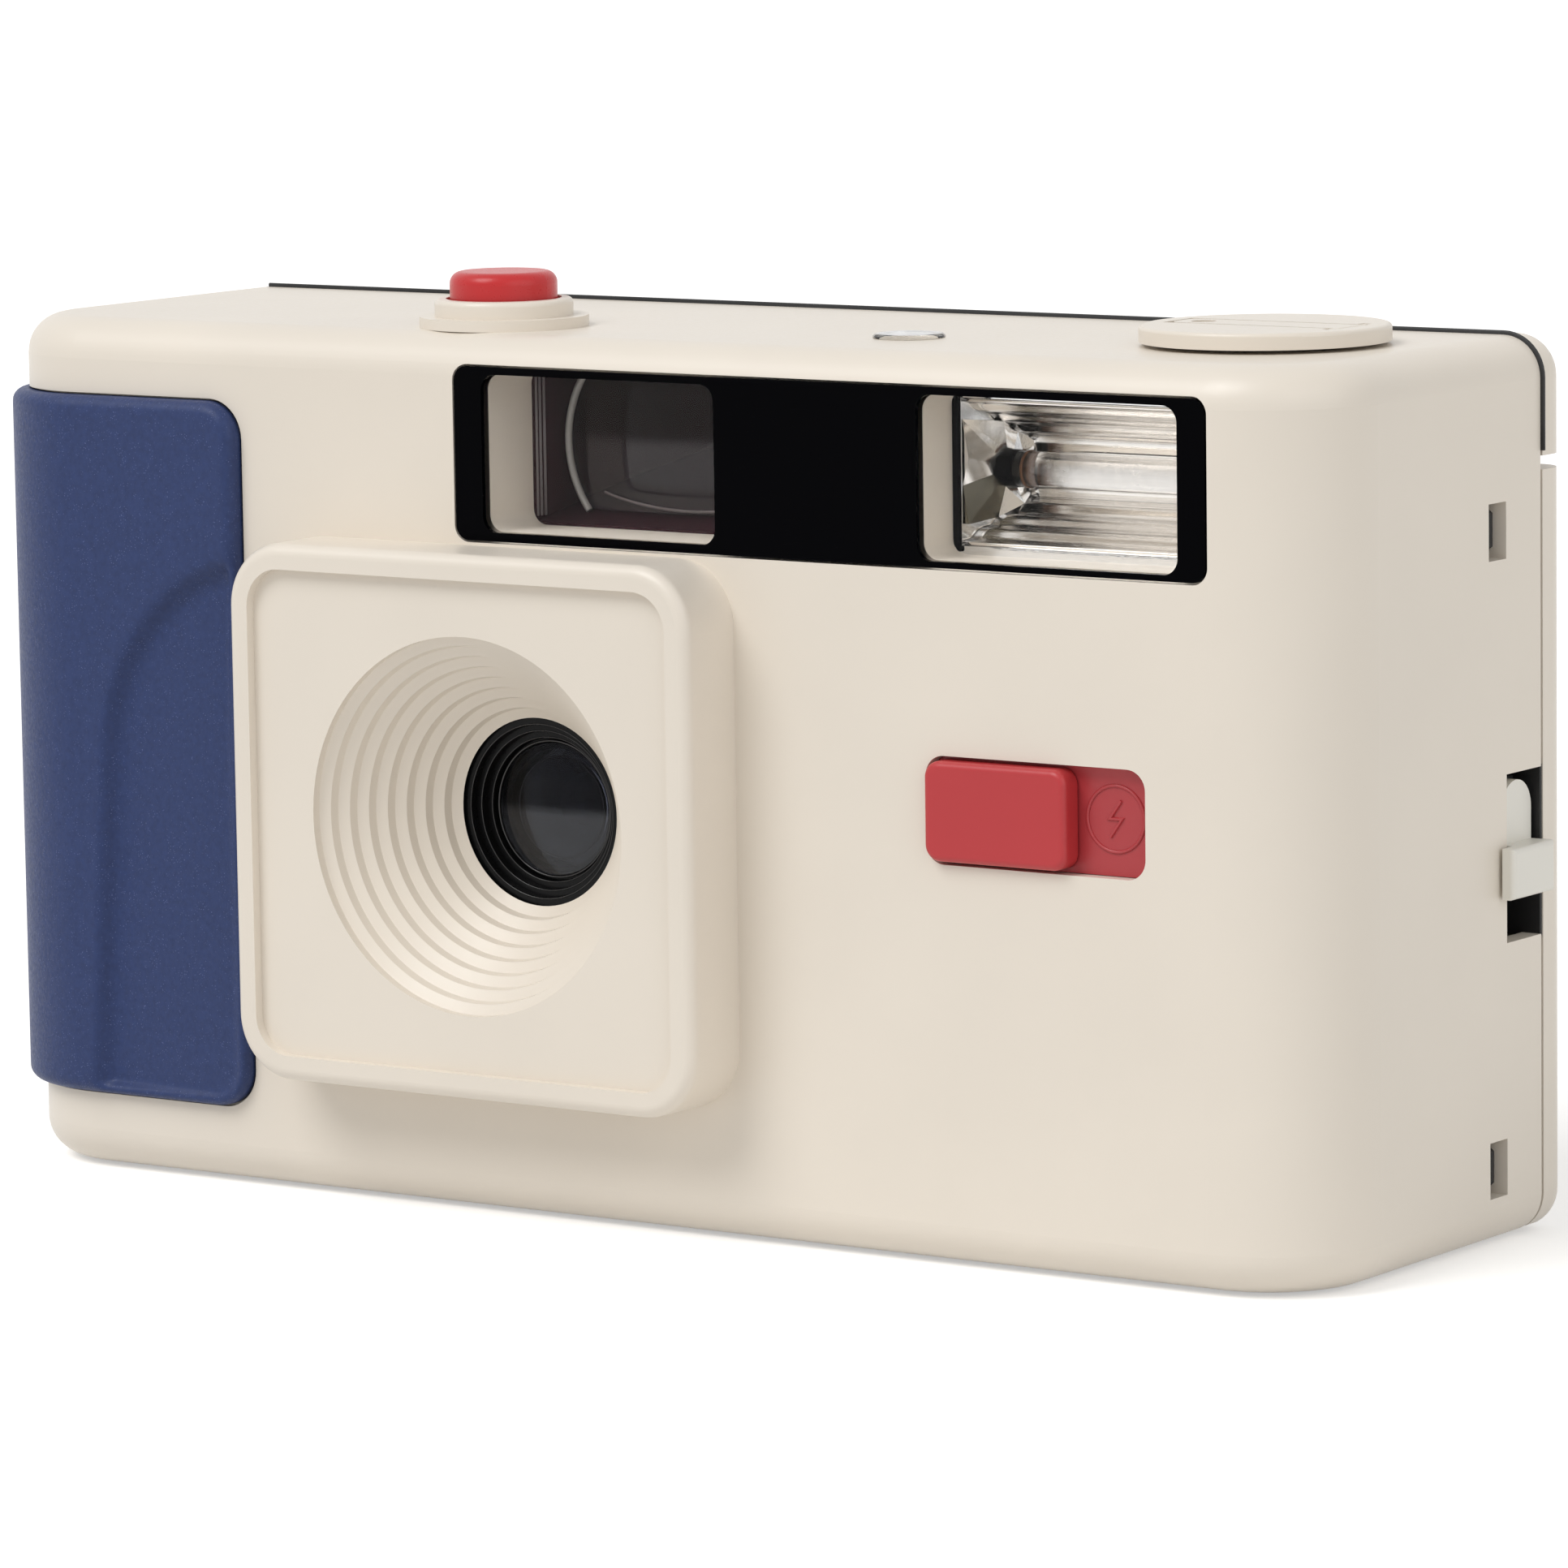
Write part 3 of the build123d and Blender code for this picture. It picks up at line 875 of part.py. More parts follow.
# Back door: dished panel with a hinge barrel, stiffening ribs, two latch tongues and a thumb rest
with BuildPart() as back_door:
    slab(HINGE[0], WIDTH / 2, 0, HEIGHT, DOOR_FRONT, REAR, EDGE)
    fillet(back_door.faces().sort_by(Axis.Y)[-1].edges().filter_by(
        lambda e: e.center().X > HINGE[0] + 1), REAR_EDGE)
    deck(-WIDTH, WIDTH, FRONT, REAR + 1, DOOR_TOP, HEIGHT + 1, mode=Mode.SUBTRACT)
    pocket_bottom = DOOR_BOTTOM + DOOR_WALL + DOOR_POCKET[1]
    slab(HINGE[0] + DOOR_POCKET[0], WIDTH / 2 - DOOR_WALL, pocket_bottom, DOOR_TOP - DOOR_WALL,
         DOOR_FRONT - 1, REAR - DOOR_WALL, DOOR_POCKET[2], Mode.SUBTRACT)
    for rib in (GATE[0] - DOOR_RIB_GAP, GATE[1] + DOOR_RIB_GAP):
        slab(rib - DOOR_RIB_T / 2, rib + DOOR_RIB_T / 2, pocket_bottom - RUN, DOOR_TOP - DOOR_WALL,
             DOOR_FRONT, REAR - DOOR_WALL)
    disc(HINGE, HINGE_R, 0, DOOR_TOP)
    slab(-WIDTH, WIDTH, DOOR_BOTTOM, HEIGHT, FRONT, REAR, 0, Mode.INTERSECT)
    deck(-WIDTH, HINGE[0] + HINGE_R + 0.5, FRONT, REAR + 1, 0, EAR_TOP + RUN, mode=Mode.SUBTRACT)
    slab(-WIDTH / 2, WIDTH / 2, 0, HEIGHT, FRONT, REAR, EDGE, Mode.INTERSECT)
    disc(HINGE, HINGE_PIN_R + PIN_FIT, 0, HEIGHT, Mode.SUBTRACT)
    for low, high in HOOK_SLOTS:
        deck(*TONGUE_X, TONGUE_Y, REAR - DOOR_WALL, low + TONGUE_LIFT, high)
    with BuildSketch(Plane.XZ.offset(-REAR)) as thumb_rest:
        with Locations((WHEEL[0], DOOR_TOP - THUMB_DROP)):
            with GridLocations(THUMB_PITCH, 1, THUMB_GROOVES, 1):
                SlotOverall(THUMB_GROOVE[0], THUMB_GROOVE[1], rotation=90)
    extrude(thumb_rest.sketch, amount=THUMB_GROOVE[2], mode=Mode.SUBTRACT)
finish(back_door, "back_door")

# Pressure plate that holds the film flat, and the leaf spring behind it
with BuildPart() as pressure_plate:
    slab(*PLATE, FILM_PLANE + PRESSURE_GAP, FILM_PLANE + PRESSURE_GAP + PRESSURE_T, PRESSURE_CORNER)
finish(pressure_plate, "pressure_plate")

with BuildPart() as pressure_spring:
    spring_mid = (PLATE[0] + PLATE[1]) / 2
    touch = FILM_PLANE + PRESSURE_GAP + PRESSURE_T
    anchor = REAR - DOOR_WALL
    left, right = spring_mid - SPRING_SPAN / 2, spring_mid + SPRING_SPAN / 2
    with BuildSketch(Plane.XY.offset(LENS_Z - SPRING_W / 2)) as leaf:
        with BuildLine():
            arch = ThreePointArc((left, touch + SPRING_T), (spring_mid, anchor),
                                 (right, touch + SPRING_T))
            inner = ThreePointArc((left, touch), (spring_mid, anchor - SPRING_T), (right, touch))
            Line(arch @ 0, inner @ 0)
            Line(arch @ 1, inner @ 1)
        make_face()
    extrude(leaf.sketch, amount=SPRING_W)
finish(pressure_spring, "pressure_spring")

# Door latch: bar with two hooks behind the side wall, and the lever plate with its knob
with BuildPart() as latch_bar:
    deck(*LATCH_BAR_X, *LATCH_BAR)
    deck(*LATCH_BAR_X, LATCH_BAR[0], LATCH_PLATE[1] - RUN, *LATCH_PLATE[2:])
    for low, high in HOOK_SLOTS:
        base = max(low, LATCH_BAR[2])
        deck(*LATCH_BAR_X, LATCH_BAR[0], TONGUE_Y - RUN, base, base + HOOK_H)
finish(latch_bar, "latch_bar")

with BuildPart() as latch_knob:
    latch_mid = (LATCH_PLATE[0] + LATCH_PLATE[1]) / 2
    half = (LATCH_PLATE[1] - LATCH_PLATE[0]) / 2
    with BuildSketch(Plane.YZ.offset(LATCH_BAR_X[1])) as lever:
        with Locations((latch_mid, (LATCH_PLATE[2] + LATCH_PLATE[3] - half) / 2)):
            Rectangle(2 * half, LATCH_PLATE[3] - LATCH_PLATE[2] - half)
        with Locations((latch_mid, LATCH_PLATE[3] - half)):
            Circle(half)
    extrude(lever.sketch, amount=WIDTH / 2 - LATCH_SUNK - LATCH_BAR_X[1])
    deck(WIDTH / 2 - LATCH_SUNK, WIDTH / 2 + RUN, LATCH_PLATE[0], LATCH_PLATE[1], *LATCH_KNOB[2:])
    deck(WIDTH / 2 + RUN, WIDTH / 2 + LATCH_PROUD, *LATCH_KNOB)
    fillet(latch_knob.faces().sort_by(Axis.X)[-1].edges(), 0.4)
finish(latch_knob, "latch_knob")
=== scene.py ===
"""Finish and setting of a 35 mm flash camera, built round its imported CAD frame.

Each sub-assembly is a class. It dresses the frame's nodes with procedural finishes, and adds the fine
forms that the solids leave out. Lengths are in millimetres, and become metres where Blender takes them.
"""

import logging
from dataclasses import dataclass
from enum import Enum
from functools import cache, reduce
from math import cos, pi, radians, sin

import bmesh
import bpy
import numpy as np
from mathutils import Matrix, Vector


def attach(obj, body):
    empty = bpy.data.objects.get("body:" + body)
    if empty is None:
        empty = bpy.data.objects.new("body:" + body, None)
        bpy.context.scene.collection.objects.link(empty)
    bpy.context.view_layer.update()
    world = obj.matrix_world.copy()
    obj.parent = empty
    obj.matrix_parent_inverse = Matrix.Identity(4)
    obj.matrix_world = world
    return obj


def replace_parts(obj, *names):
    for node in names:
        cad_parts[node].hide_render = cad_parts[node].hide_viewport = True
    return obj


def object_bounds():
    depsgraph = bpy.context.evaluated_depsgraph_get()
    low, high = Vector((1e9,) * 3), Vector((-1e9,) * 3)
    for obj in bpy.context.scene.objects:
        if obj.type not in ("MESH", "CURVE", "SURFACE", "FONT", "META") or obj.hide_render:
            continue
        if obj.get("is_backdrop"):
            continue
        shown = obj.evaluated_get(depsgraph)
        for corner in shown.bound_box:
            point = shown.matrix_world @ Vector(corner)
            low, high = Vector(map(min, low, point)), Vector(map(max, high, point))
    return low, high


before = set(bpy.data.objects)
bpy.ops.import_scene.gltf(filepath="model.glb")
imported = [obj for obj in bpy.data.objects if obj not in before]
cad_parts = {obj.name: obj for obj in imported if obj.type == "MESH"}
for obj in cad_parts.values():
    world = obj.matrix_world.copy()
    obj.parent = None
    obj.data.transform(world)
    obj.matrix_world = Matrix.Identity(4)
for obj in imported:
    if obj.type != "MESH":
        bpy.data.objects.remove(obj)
LOG = logging.getLogger("camera")
MM = 0.001
NOISE = (0.3, 0.7)
Pair = tuple[float, float]
Triple = tuple[float, float, float]
Colour = Triple
Point = Triple
Box = tuple[Point, Point]
Rings = tuple[float, float, int]
Made = tuple[np.ndarray, list[np.ndarray]]
Socket = bpy.types.NodeSocket
Inputs = dict[str, Socket | float | tuple[float, ...]]


class Body(Enum):
    """The bodies that pieces ride on."""

    CAMERA = "camera"
    COUNTER = "counter"


class Slot(Enum):
    """The record's material slots that pieces stand for."""

    BLACK = "black_matte"
    BLUE = "grip_blue"
    CLEAR = "clear"
    MIRROR = "reflector"
    RED = "red"
    STEEL = "steel"


def linear(*screen: float) -> Colour:
    """Turns a screen colour of 0 to 255 into a linear one, by the sRGB curve of each share s."""
    s = np.array(screen) / 255
    return tuple(np.where(s <= 0.04045, s / 12.92, ((s + 0.055) / 1.055) ** 2.4).tolist())


class Tree:
    """The node tree of a material or world, with one method for each step that the finishes share."""

    def __init__(self, owner: bpy.types.Material | bpy.types.World) -> None:
        """Opens the owner's nodes, with the one shader that they start with."""
        owner.use_nodes = True
        self.nodes, self.links = owner.node_tree.nodes, owner.node_tree.links
        self.shader = self.nodes.get("Principled BSDF") or self.nodes["Background"]

    def fill(self, node: bpy.types.Node, inputs: Inputs) -> None:
        """Links or sets a node's inputs.

        Args:
            node: The node.
            inputs: A socket, number or colour for each input.
        """
        sockets = {socket.identifier: socket for socket in node.inputs}
        for name, value in inputs.items():
            if isinstance(value, Socket):
                self.links.new(value, sockets[name])
            else:
                sockets[name].default_value = (*value, 1) if sockets[name].type == "RGBA" else value

    def add(self, kind: str, give: str, inputs: Inputs | None = None, **settings: str) -> Socket:
        """Adds a node.

        Args:
            kind: Its type, without ShaderNode.
            give: The output that is wanted.
            inputs: A socket, number or colour for each input.
            **settings: The node's own settings.

        Returns:
            The output's socket.
        """
        node = self.nodes.new(f"ShaderNode{kind}")
        for name, value in settings.items():
            setattr(node, name, value)
        self.fill(node, inputs or {})
        return next(socket for socket in node.outputs if socket.identifier == give)

    def math(self, operation: str, first: Socket, second: Socket | float) -> Socket:
        """Works out one number from two."""
        return self.add("Math", "Value", {"Value": first, "Value_001": second}, operation=operation)

    def rays(self, *kinds: str) -> Socket:
        """Gives 1 for rays of some kinds and 0 for others, as the greatest of their signs."""
        signs = [self.add("LightPath", f"Is {kind} Ray") for kind in kinds]
        return reduce(lambda first, second: self.math("MAXIMUM", first, second), signs)

    def place(self) -> Socket:
        """Gives the piece's own coordinates."""
        return self.add("TexCoord", "Object")

    def scaled(self, scale: Triple, turn: Triple = (0, 0, 0)) -> Socket:
        """Stretches the piece's own coordinates by factors, and turns them by degrees."""
        inputs = {"Scale": scale, "Rotation": tuple(radians(angle) for angle in turn)}
        return self.add("Mapping", "Vector", {"Vector": self.place(), **inputs})

    def noise(self, grain: float, detail: float = 3, place: Socket | None = None) -> Socket:
        """Adds a cloudy noise of a grain in mm with finer layers, mostly in the range NOISE."""
        inputs = {"Vector": place or self.place(), "Scale": 1 / (grain * MM), "Detail": detail}
        return self.add("TexNoise", "Fac", inputs)

    def spread(self, source: Socket, ends: Pair = (0, 1), start: Pair = NOISE) -> Socket:
        """Maps the range start to the range ends, in a straight line and held at both."""
        names = ("Value", "From Min", "From Max", "To Min", "To Max")
        return self.add("MapRange", "Result", dict(zip(names, (source, *start, *ends))))

    def blend(self, share: Socket, first: Colour | Socket, second: Colour | Socket) -> Socket:
        """Mixes two colours, with the share of the second one given."""
        inputs = {"Factor_Float": share, "A_Color": first, "B_Color": second}
        return self.add("Mix", "Result_Color", inputs, data_type="RGBA")

    def clouded(self, noise: Socket, colour: Colour, low: float, high: float) -> Socket:
        """Lets a noise change a colour, from low to high times as light and up to white."""
        first, second = (tuple(min(1, share * factor) for share in colour) for factor in (low, high))
        return self.blend(self.spread(noise), first, second)

    def relief(self, height: Socket, depth: float) -> Socket:
        """Raises the surface by a height of 0 to 1 times a depth in mm."""
        return self.add("Bump", "Normal", {"Height": height, "Distance": depth * MM, "Strength": 1})


@dataclass(frozen=True)
class Finish:
    """A finish, which makes one material."""

    name: str

    def look(self, tree: Tree) -> Inputs:
        """Builds the nodes, and gives the shader's inputs."""
        raise NotImplementedError

    @cache
    def material(self) -> bpy.types.Material:
        """Builds the material once, so that like pieces share it.

        Returns:
            The material.
        """
        material = bpy.data.materials.new(self.name)
        tree = Tree(material)
        tree.fill(tree.shader, self.look(tree))
        return material


@dataclass(frozen=True)
class MouldedPlastic(Finish):
    """Moulded plastic: one colour with faint clouds, and the fine skin of a spark-eroded mould."""

    colour: Colour
    rough: float = 0.36
    shine: float = 0.5
    skin: float = 0.35
    depth: float = 0.004
    clouds: float = 0.015
    cloud_size: float = 14
    sheen: Pair = (-0.04, 0.05)

    def look(self, tree: Tree) -> Inputs:
        """Lets clouds change the colour, and a finer noise the roughness and the relief."""
        clouds, skin = tree.noise(self.cloud_size, 2), tree.noise(self.skin, 4)
        return {"Base Color": tree.clouded(clouds, self.colour, 1 - self.clouds, 1 + self.clouds),
                "Roughness": tree.spread(skin, tuple(self.rough + change for change in self.sheen)),
                "Normal": tree.relief(skin, self.depth), "Specular IOR Level": self.shine}


@dataclass(frozen=True)
class GripRubber(Finish):
    """Soft blue grip skin: a fine pebble, and pale sparks of mica in it."""

    name: str = "grip_rubber"
    colour: Colour = linear(42, 57, 100)
    spark: Colour = linear(84, 97, 142)
    shine: float = 0.3
    clouds: float = 0.1
    cloud_size: float = 0.5
    spark_cell: float = 0.2
    spark_edge: Pair = (0.12, 0.26)
    thin_grain: float = 0.7
    thin_edge: Pair = (0.42, 0.6)
    pebble: float = 0.28
    depth: float = 0.03
    rough: Pair = (0.4, 0.56)

    def look(self, tree: Tree) -> Inputs:
        """Draws the sparks as the hearts of small cells, which a cloudy noise thins out.

        Args:
            tree: The material's nodes.

        Returns:
            The shader's inputs.
        """
        base = tree.clouded(tree.noise(self.cloud_size), self.colour, 1 - self.clouds, 1 + self.clouds)
        inputs = {"Vector": tree.place(), "Scale": 1 / (self.spark_cell * MM)}
        hearts = tree.spread(tree.add("TexVoronoi", "Distance", inputs), (1, 0), self.spark_edge)
        thin = tree.spread(tree.noise(self.thin_grain, 2), start=self.thin_edge)
        pebble = tree.noise(self.pebble)
        return {"Base Color": tree.blend(tree.math("MULTIPLY", hearts, thin), base, self.spark),
                "Roughness": tree.spread(pebble, self.rough),
                "Normal": tree.relief(pebble, self.depth), "Specular IOR Level": self.shine}


@dataclass(frozen=True)
class BrushedMetal(Finish):
    """Bright or satin metal with a fine grain along X."""

    colour: Colour
    rough: float = 0.25
    grain: Triple = (1, 12, 12)
    grain_size: float = 1.2
    grain_shade: float = 0.92
    depth: float = 0.003
    sheen: Pair = (0.7, 1.3)

    def look(self, tree: Tree) -> Inputs:
        """Lets one stretched noise drive the colour, the roughness and the relief."""
        lines = tree.noise(self.grain_size, 4, tree.scaled(self.grain))
        return {"Base Color": tree.clouded(lines, self.colour, self.grain_shade, 1),
                "Roughness": tree.spread(lines, tuple(self.rough * change for change in self.sheen)),
                "Normal": tree.relief(lines, self.depth), "Metallic": 1.0}


@dataclass(frozen=True)
class Clear(Finish):
    """Clear moulded plastic or glass. A shine below 1 dulls its reflections."""

    tint: Colour = (1.0, 1.0, 1.0)
    rough: Pair = (0.005, 0.015)
    bend: float = 1.49
    shine: float = 1.0
    wave: float = 4

    def look(self, tree: Tree) -> Inputs:
        """Gives the roughness a faint polish wave."""
        return {"Base Color": self.tint, "Transmission Weight": 1.0, "IOR": self.bend,
                "Specular Tint": (self.shine,) * 3,
                "Roughness": tree.spread(tree.noise(self.wave, 2), self.rough)}


@dataclass(frozen=True)
class CoatedLens(Clear):
    """Glass with a painted reflection: strong under a level line, as from a bright floor, and dark over
    it.
    """

    rough: Pair = (0.01, 0.03)
    bend: float = 1.5
    level: float = 0
    dark: float = 0
    blur: float = 0.4

    def look(self, tree: Tree) -> Inputs:
        """Paints the reflection: blends two strengths of it by the height over the level line, with a
        blur.

        Args:
            tree: The material's nodes.

        Returns:
            The shader's inputs.
        """
        height = tree.add("SeparateXYZ", "Z", {"Vector": tree.place()})
        edge = ((self.level - self.blur) * MM, (self.level + self.blur) * MM)
        # painted reflection: the shine below the level line, the dark strength above it
        painted_reflection = tree.blend(tree.spread(height, start=edge), (self.shine,) * 3, (self.dark,) * 3)
        return super().look(tree) | {"Specular Tint": painted_reflection}


@dataclass(frozen=True)
class CircuitBoard(Finish):
    """Green solder mask over copper tracks."""

    name: str = "circuit_board"
    mask: Colour = linear(28, 92, 58)
    track: Colour = linear(48, 128, 78)
    pitch: float = 3.2
    gap: float = 0.06
    grain: float = 2
    depth: float = 0.03
    rough: Pair = (0.25, 0.4)

    def look(self, tree: Tree) -> Inputs:
        """Lets bricks with tracks between them show through the mask."""
        bricks = tree.add("TexBrick", "Fac", {"Vector": tree.scaled((1, 1, 1), (90, 0, 0)),
                                              "Scale": 1 / (self.pitch * MM), "Mortar Size": self.gap})
        return {"Base Color": tree.blend(bricks, self.mask, self.track),
                "Normal": tree.relief(bricks, self.depth),
                "Roughness": tree.spread(tree.noise(self.grain), self.rough)}


CREAM = MouldedPlastic("cream_plastic", linear(231, 222, 209))
PALE = MouldedPlastic("pale_plastic", linear(232, 229, 220), rough=0.4)
RED = MouldedPlastic("red_plastic", linear(186, 55, 59), shine=0.4, clouds=0.04)
RED_BUTTON = MouldedPlastic("red_button", linear(196, 44, 46), rough=0.3, shine=0.35, clouds=0.04)
# The plate's red is the knob's made darker: painted shade for the recess it lies in.
RED_PAINTED_SHADE = MouldedPlastic("red_painted_shade", linear(172, 54, 59), clouds=0.04)
BLACK_SKIN = MouldedPlastic("black_plastic", linear(22, 22, 23), rough=0.5, skin=0.5, depth=0.012)
BLACK_GLOSS = MouldedPlastic("black_barrel", linear(11, 11, 12), rough=0.3, shine=0.15, depth=0.001)
BLACK_MASK = MouldedPlastic("black_mask", linear(3, 3, 5), rough=0.12, shine=0.02, depth=0.0005)
DARK_LINING = MouldedPlastic("dark_lining", linear(48, 26, 31), rough=0.4, shine=0.05, depth=0.002)
INK = MouldedPlastic("counter_ink", linear(38, 38, 40), rough=0.6, shine=0.2, depth=0.0005)
DISC_WHITE = MouldedPlastic("disc_white", linear(235, 235, 230), rough=0.45)
SLEEVE = MouldedPlastic("capacitor_sleeve", linear(40, 44, 60), rough=0.3, depth=0.002)
RIM_GREY = MouldedPlastic("rim_grey", linear(150, 147, 143), rough=0.3, depth=0.001)
EDGE_BLACK = MouldedPlastic("edge_black", linear(34, 33, 34), rough=0.15, depth=0.0005)
LINE_GREY = MouldedPlastic("line_grey", linear(120, 112, 112), rough=0.3, depth=0.001)
STEEL = BrushedMetal("steel", linear(190, 190, 188))
CHROME = BrushedMetal("chrome", linear(236, 236, 236), rough=0.07)
SATIN = BrushedMetal("satin_chrome", linear(246, 242, 237), rough=0.22)
BLUED = BrushedMetal("blued_steel", linear(42, 42, 46), rough=0.4)
# A darker chrome for some reflector facets: painted dark reflection.
DARK_REFLECTION_CHROME = BrushedMetal("chrome_painted_dark_reflection", linear(122, 118, 106), rough=0.2)
COPPER = BrushedMetal("copper", linear(104, 76, 60), rough=0.35)
PANE = Clear("pane_clear", shine=0.06)
LENS = Clear("lens_coated", (0.92, 0.93, 0.96), shine=0.9)
FINDER_LENS = Clear("finder_clear", (0.97, 0.96, 0.97), shine=0.12)
TUBE = Clear("tube_glass", rough=(0.0025, 0.0075), bend=1.46)
# Both lenses have a painted reflection: strong below their level line and dark above it.
PICTURE_LENS = CoatedLens("picture_lens_painted_reflection", linear(170, 172, 180), shine=0.65, level=29.6, dark=0.04)
FINDER_FRONT = CoatedLens("finder_lens_painted_reflection", linear(216, 196, 202), shine=0.45, level=57.2, dark=0.02)
GRIP = GripRubber()
BOARD = CircuitBoard()


def added(name: str, data: bpy.types.ID) -> bpy.types.Object:
    """Adds an object to the scene.

    Args:
        name: Its name.
        data: Its mesh, lamp, camera or text.

    Returns:
        The new object.
    """
    new = bpy.data.objects.new(name, data)
    bpy.context.scene.collection.objects.link(new)
    return new


def lit_through(*glasses: bpy.types.Object) -> None:
    """Lets glass that lies over other pieces cast no shadow on them."""
    for glass in glasses:
        glass.visible_shadow = False


def aimed(azimuth: float, elevation: float, roll: float = 0, place: Point = (0, 0, 0)) -> Matrix:
    """Turns a camera or lamp, whose own view is along its -Z, towards the middle of the scene.

    Args:
        azimuth: Where it stands, in degrees round from the front towards +X.
        elevation: How high it stands, in degrees above the horizon.
        roll: Its roll about its own line of view, in degrees.
        place: Where it stands, in mm.

    Returns:
        Its matrix: back from the azimuth and elevation, level across it, and both rolled.
    """
    turn, rise, spin = radians(azimuth), radians(elevation), radians(roll)
    back = np.array((sin(turn) * cos(rise), -cos(turn) * cos(rise), sin(rise)))
    level = np.array((cos(turn), sin(turn), 0.0))
    upright = np.cross(back, level)
    right = level * cos(spin) + upright * sin(spin)
    up = upright * cos(spin) - level * sin(spin)
    placed = np.eye(4)
    placed[:3, :3] = np.stack((right, up, back), axis=1)
    placed[:3, 3] = np.array(place) * MM
    return Matrix(placed.tolist())


@dataclass(frozen=True)
class Sun:
    """A soft lamp far away, with its strength in W/m2, and spread as the angle it fills in degrees."""

    name: str
    azimuth: float
    elevation: float
    strength: float
    spread: float

    def hang(self) -> None:
        """Adds the lamp."""
        lamp = bpy.data.lights.new(self.name, "SUN")
        lamp.energy, lamp.angle = self.strength, radians(self.spread)
        added(self.name, lamp).matrix_world = aimed(self.azimuth, self.elevation)


@dataclass
class Stage:
    """Floor, light and the photograph's camera. Its view is azimuth, elevation and roll in degrees."""

    eye: Point = (342.87, -495.18, 113.21)
    view: Triple = (34.50, 7.80, -0.831)
    lens: float = 186.97
    sensor: float = 36.0
    clip: Pair = (0.05, 60)
    half: float = 12.0
    drop: float = 0.0002
    paper: Colour = linear(236, 235, 233)
    lift: float = 0.42
    room: Pair = (0.45, 1.0)
    suns: tuple[Sun, ...] = (Sun("key", -25, 50, 1.55, 34), Sun("fill", 75, 22, 0.6, 60))

    def camera(self) -> None:
        """Places the camera."""
        data = bpy.data.cameras.new("camera")
        data.lens, data.sensor_width, data.sensor_fit = self.lens, self.sensor, "HORIZONTAL"
        data.clip_start, data.clip_end = self.clip
        camera = added("camera", data)
        camera.matrix_world = aimed(*self.view, place=self.eye)
        bpy.context.scene.camera = camera

    def floor(self) -> None:
        """Lays a pale floor. What the camera sees of it is lifted to white where no shadow falls."""
        material = bpy.data.materials.new("floor_paper")
        tree = Tree(material)
        lift = tree.math("MULTIPLY", tree.rays("Camera", "Glossy"), self.lift)
        paper = tree.add("BsdfDiffuse", "BSDF", {"Color": self.paper})
        glow = tree.add("Emission", "Emission", {"Strength": lift})
        both = tree.add("AddShader", "Shader", {"Shader": paper, "Shader_001": glow})
        tree.fill(tree.nodes["Material Output"], {"Surface": both})
        tree.nodes.remove(tree.shader)
        low, high = -self.half, self.half
        ring = ((low, low), (high, low), (high, high), (low, high))
        mesh = bpy.data.meshes.new("floor")
        mesh.from_pydata([(x, y, -self.drop) for x, y in ring], [], [(0, 1, 2, 3)])
        mesh.materials.append(material)
        floor = added("floor", mesh)
        floor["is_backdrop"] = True

    def world(self) -> None:
        """Fills the room with soft light. The camera, gloss and clear pieces see it white."""
        world = bpy.data.worlds.new("studio")
        bpy.context.scene.world = world
        tree = Tree(world)
        seen = tree.rays("Camera", "Glossy", "Transmission")
        tree.fill(tree.shader, {"Color": (1, 1, 1), "Strength": tree.spread(seen, self.room, (0, 1))})

    def build(self) -> None:
        """Sets camera, floor and lights."""
        self.camera()
        self.floor()
        self.world()
        for sun in self.suns:
            sun.hang()
        bpy.context.scene.view_settings.view_transform = "Standard"
        LOG.info("stage is set")


def grid_faces(rows: int, columns: int, loop: bool = False) -> np.ndarray:
    """Numbers the four-cornered faces of a grid of points.

    Args:
        rows: Points along the first parameter.
        columns: Points along the second parameter.
        loop: Whether the last column joins the first.

    Returns:
        One row of four point numbers for each face: a point, its neighbour along the row, and the
        two above them.
    """
    across = columns if loop else columns - 1
    row, column = np.meshgrid(np.arange(rows - 1), np.arange(across), indexing="ij")
    near = row * columns + column
    far = row * columns + (column + 1) % columns
    return np.stack((near, far, far + columns, near + columns), axis=-1).reshape(-1, 4)


def capped(rings: int, around: int) -> list[np.ndarray]:
    """Numbers the faces between closed rings of points, and a cap on the first and the last ring."""
    caps = np.stack((np.arange(around)[::-1], np.arange(around) + (rings - 1) * around))
    return [grid_faces(rings, around, loop=True), caps]


def slab(front: np.ndarray, behind: np.ndarray, loop: bool = False) -> Made:
    """Closes two grids of points to one solid sheet.

    Args:
        front: The outer grid, rows by columns by 3, wound so that its faces look outwards.
        behind: The inner grid, of the same shape.
        loop: Whether the last column joins the first.

    Returns:
        Its points and faces: the outer faces, the inner ones turned over, and a wall round the
        open edges.
    """
    rows, columns = front.shape[:2]
    number = np.arange(rows * columns).reshape(rows, columns)
    sheet = grid_faces(rows, columns, loop)
    if loop:
        edges = [number[0], number[-1][::-1]]
    else:
        edges = [np.concatenate((number[0], number[1:, -1], number[-1, -2::-1], number[-2:0:-1, 0]))]
    blocks = [sheet, sheet[:, ::-1] + number.size]
    for edge in edges:
        ahead = np.roll(edge, -1)
        blocks.append(np.stack((ahead, edge, edge + number.size, ahead + number.size), axis=1))
    return np.concatenate((front.reshape(-1, 3), behind.reshape(-1, 3))), blocks


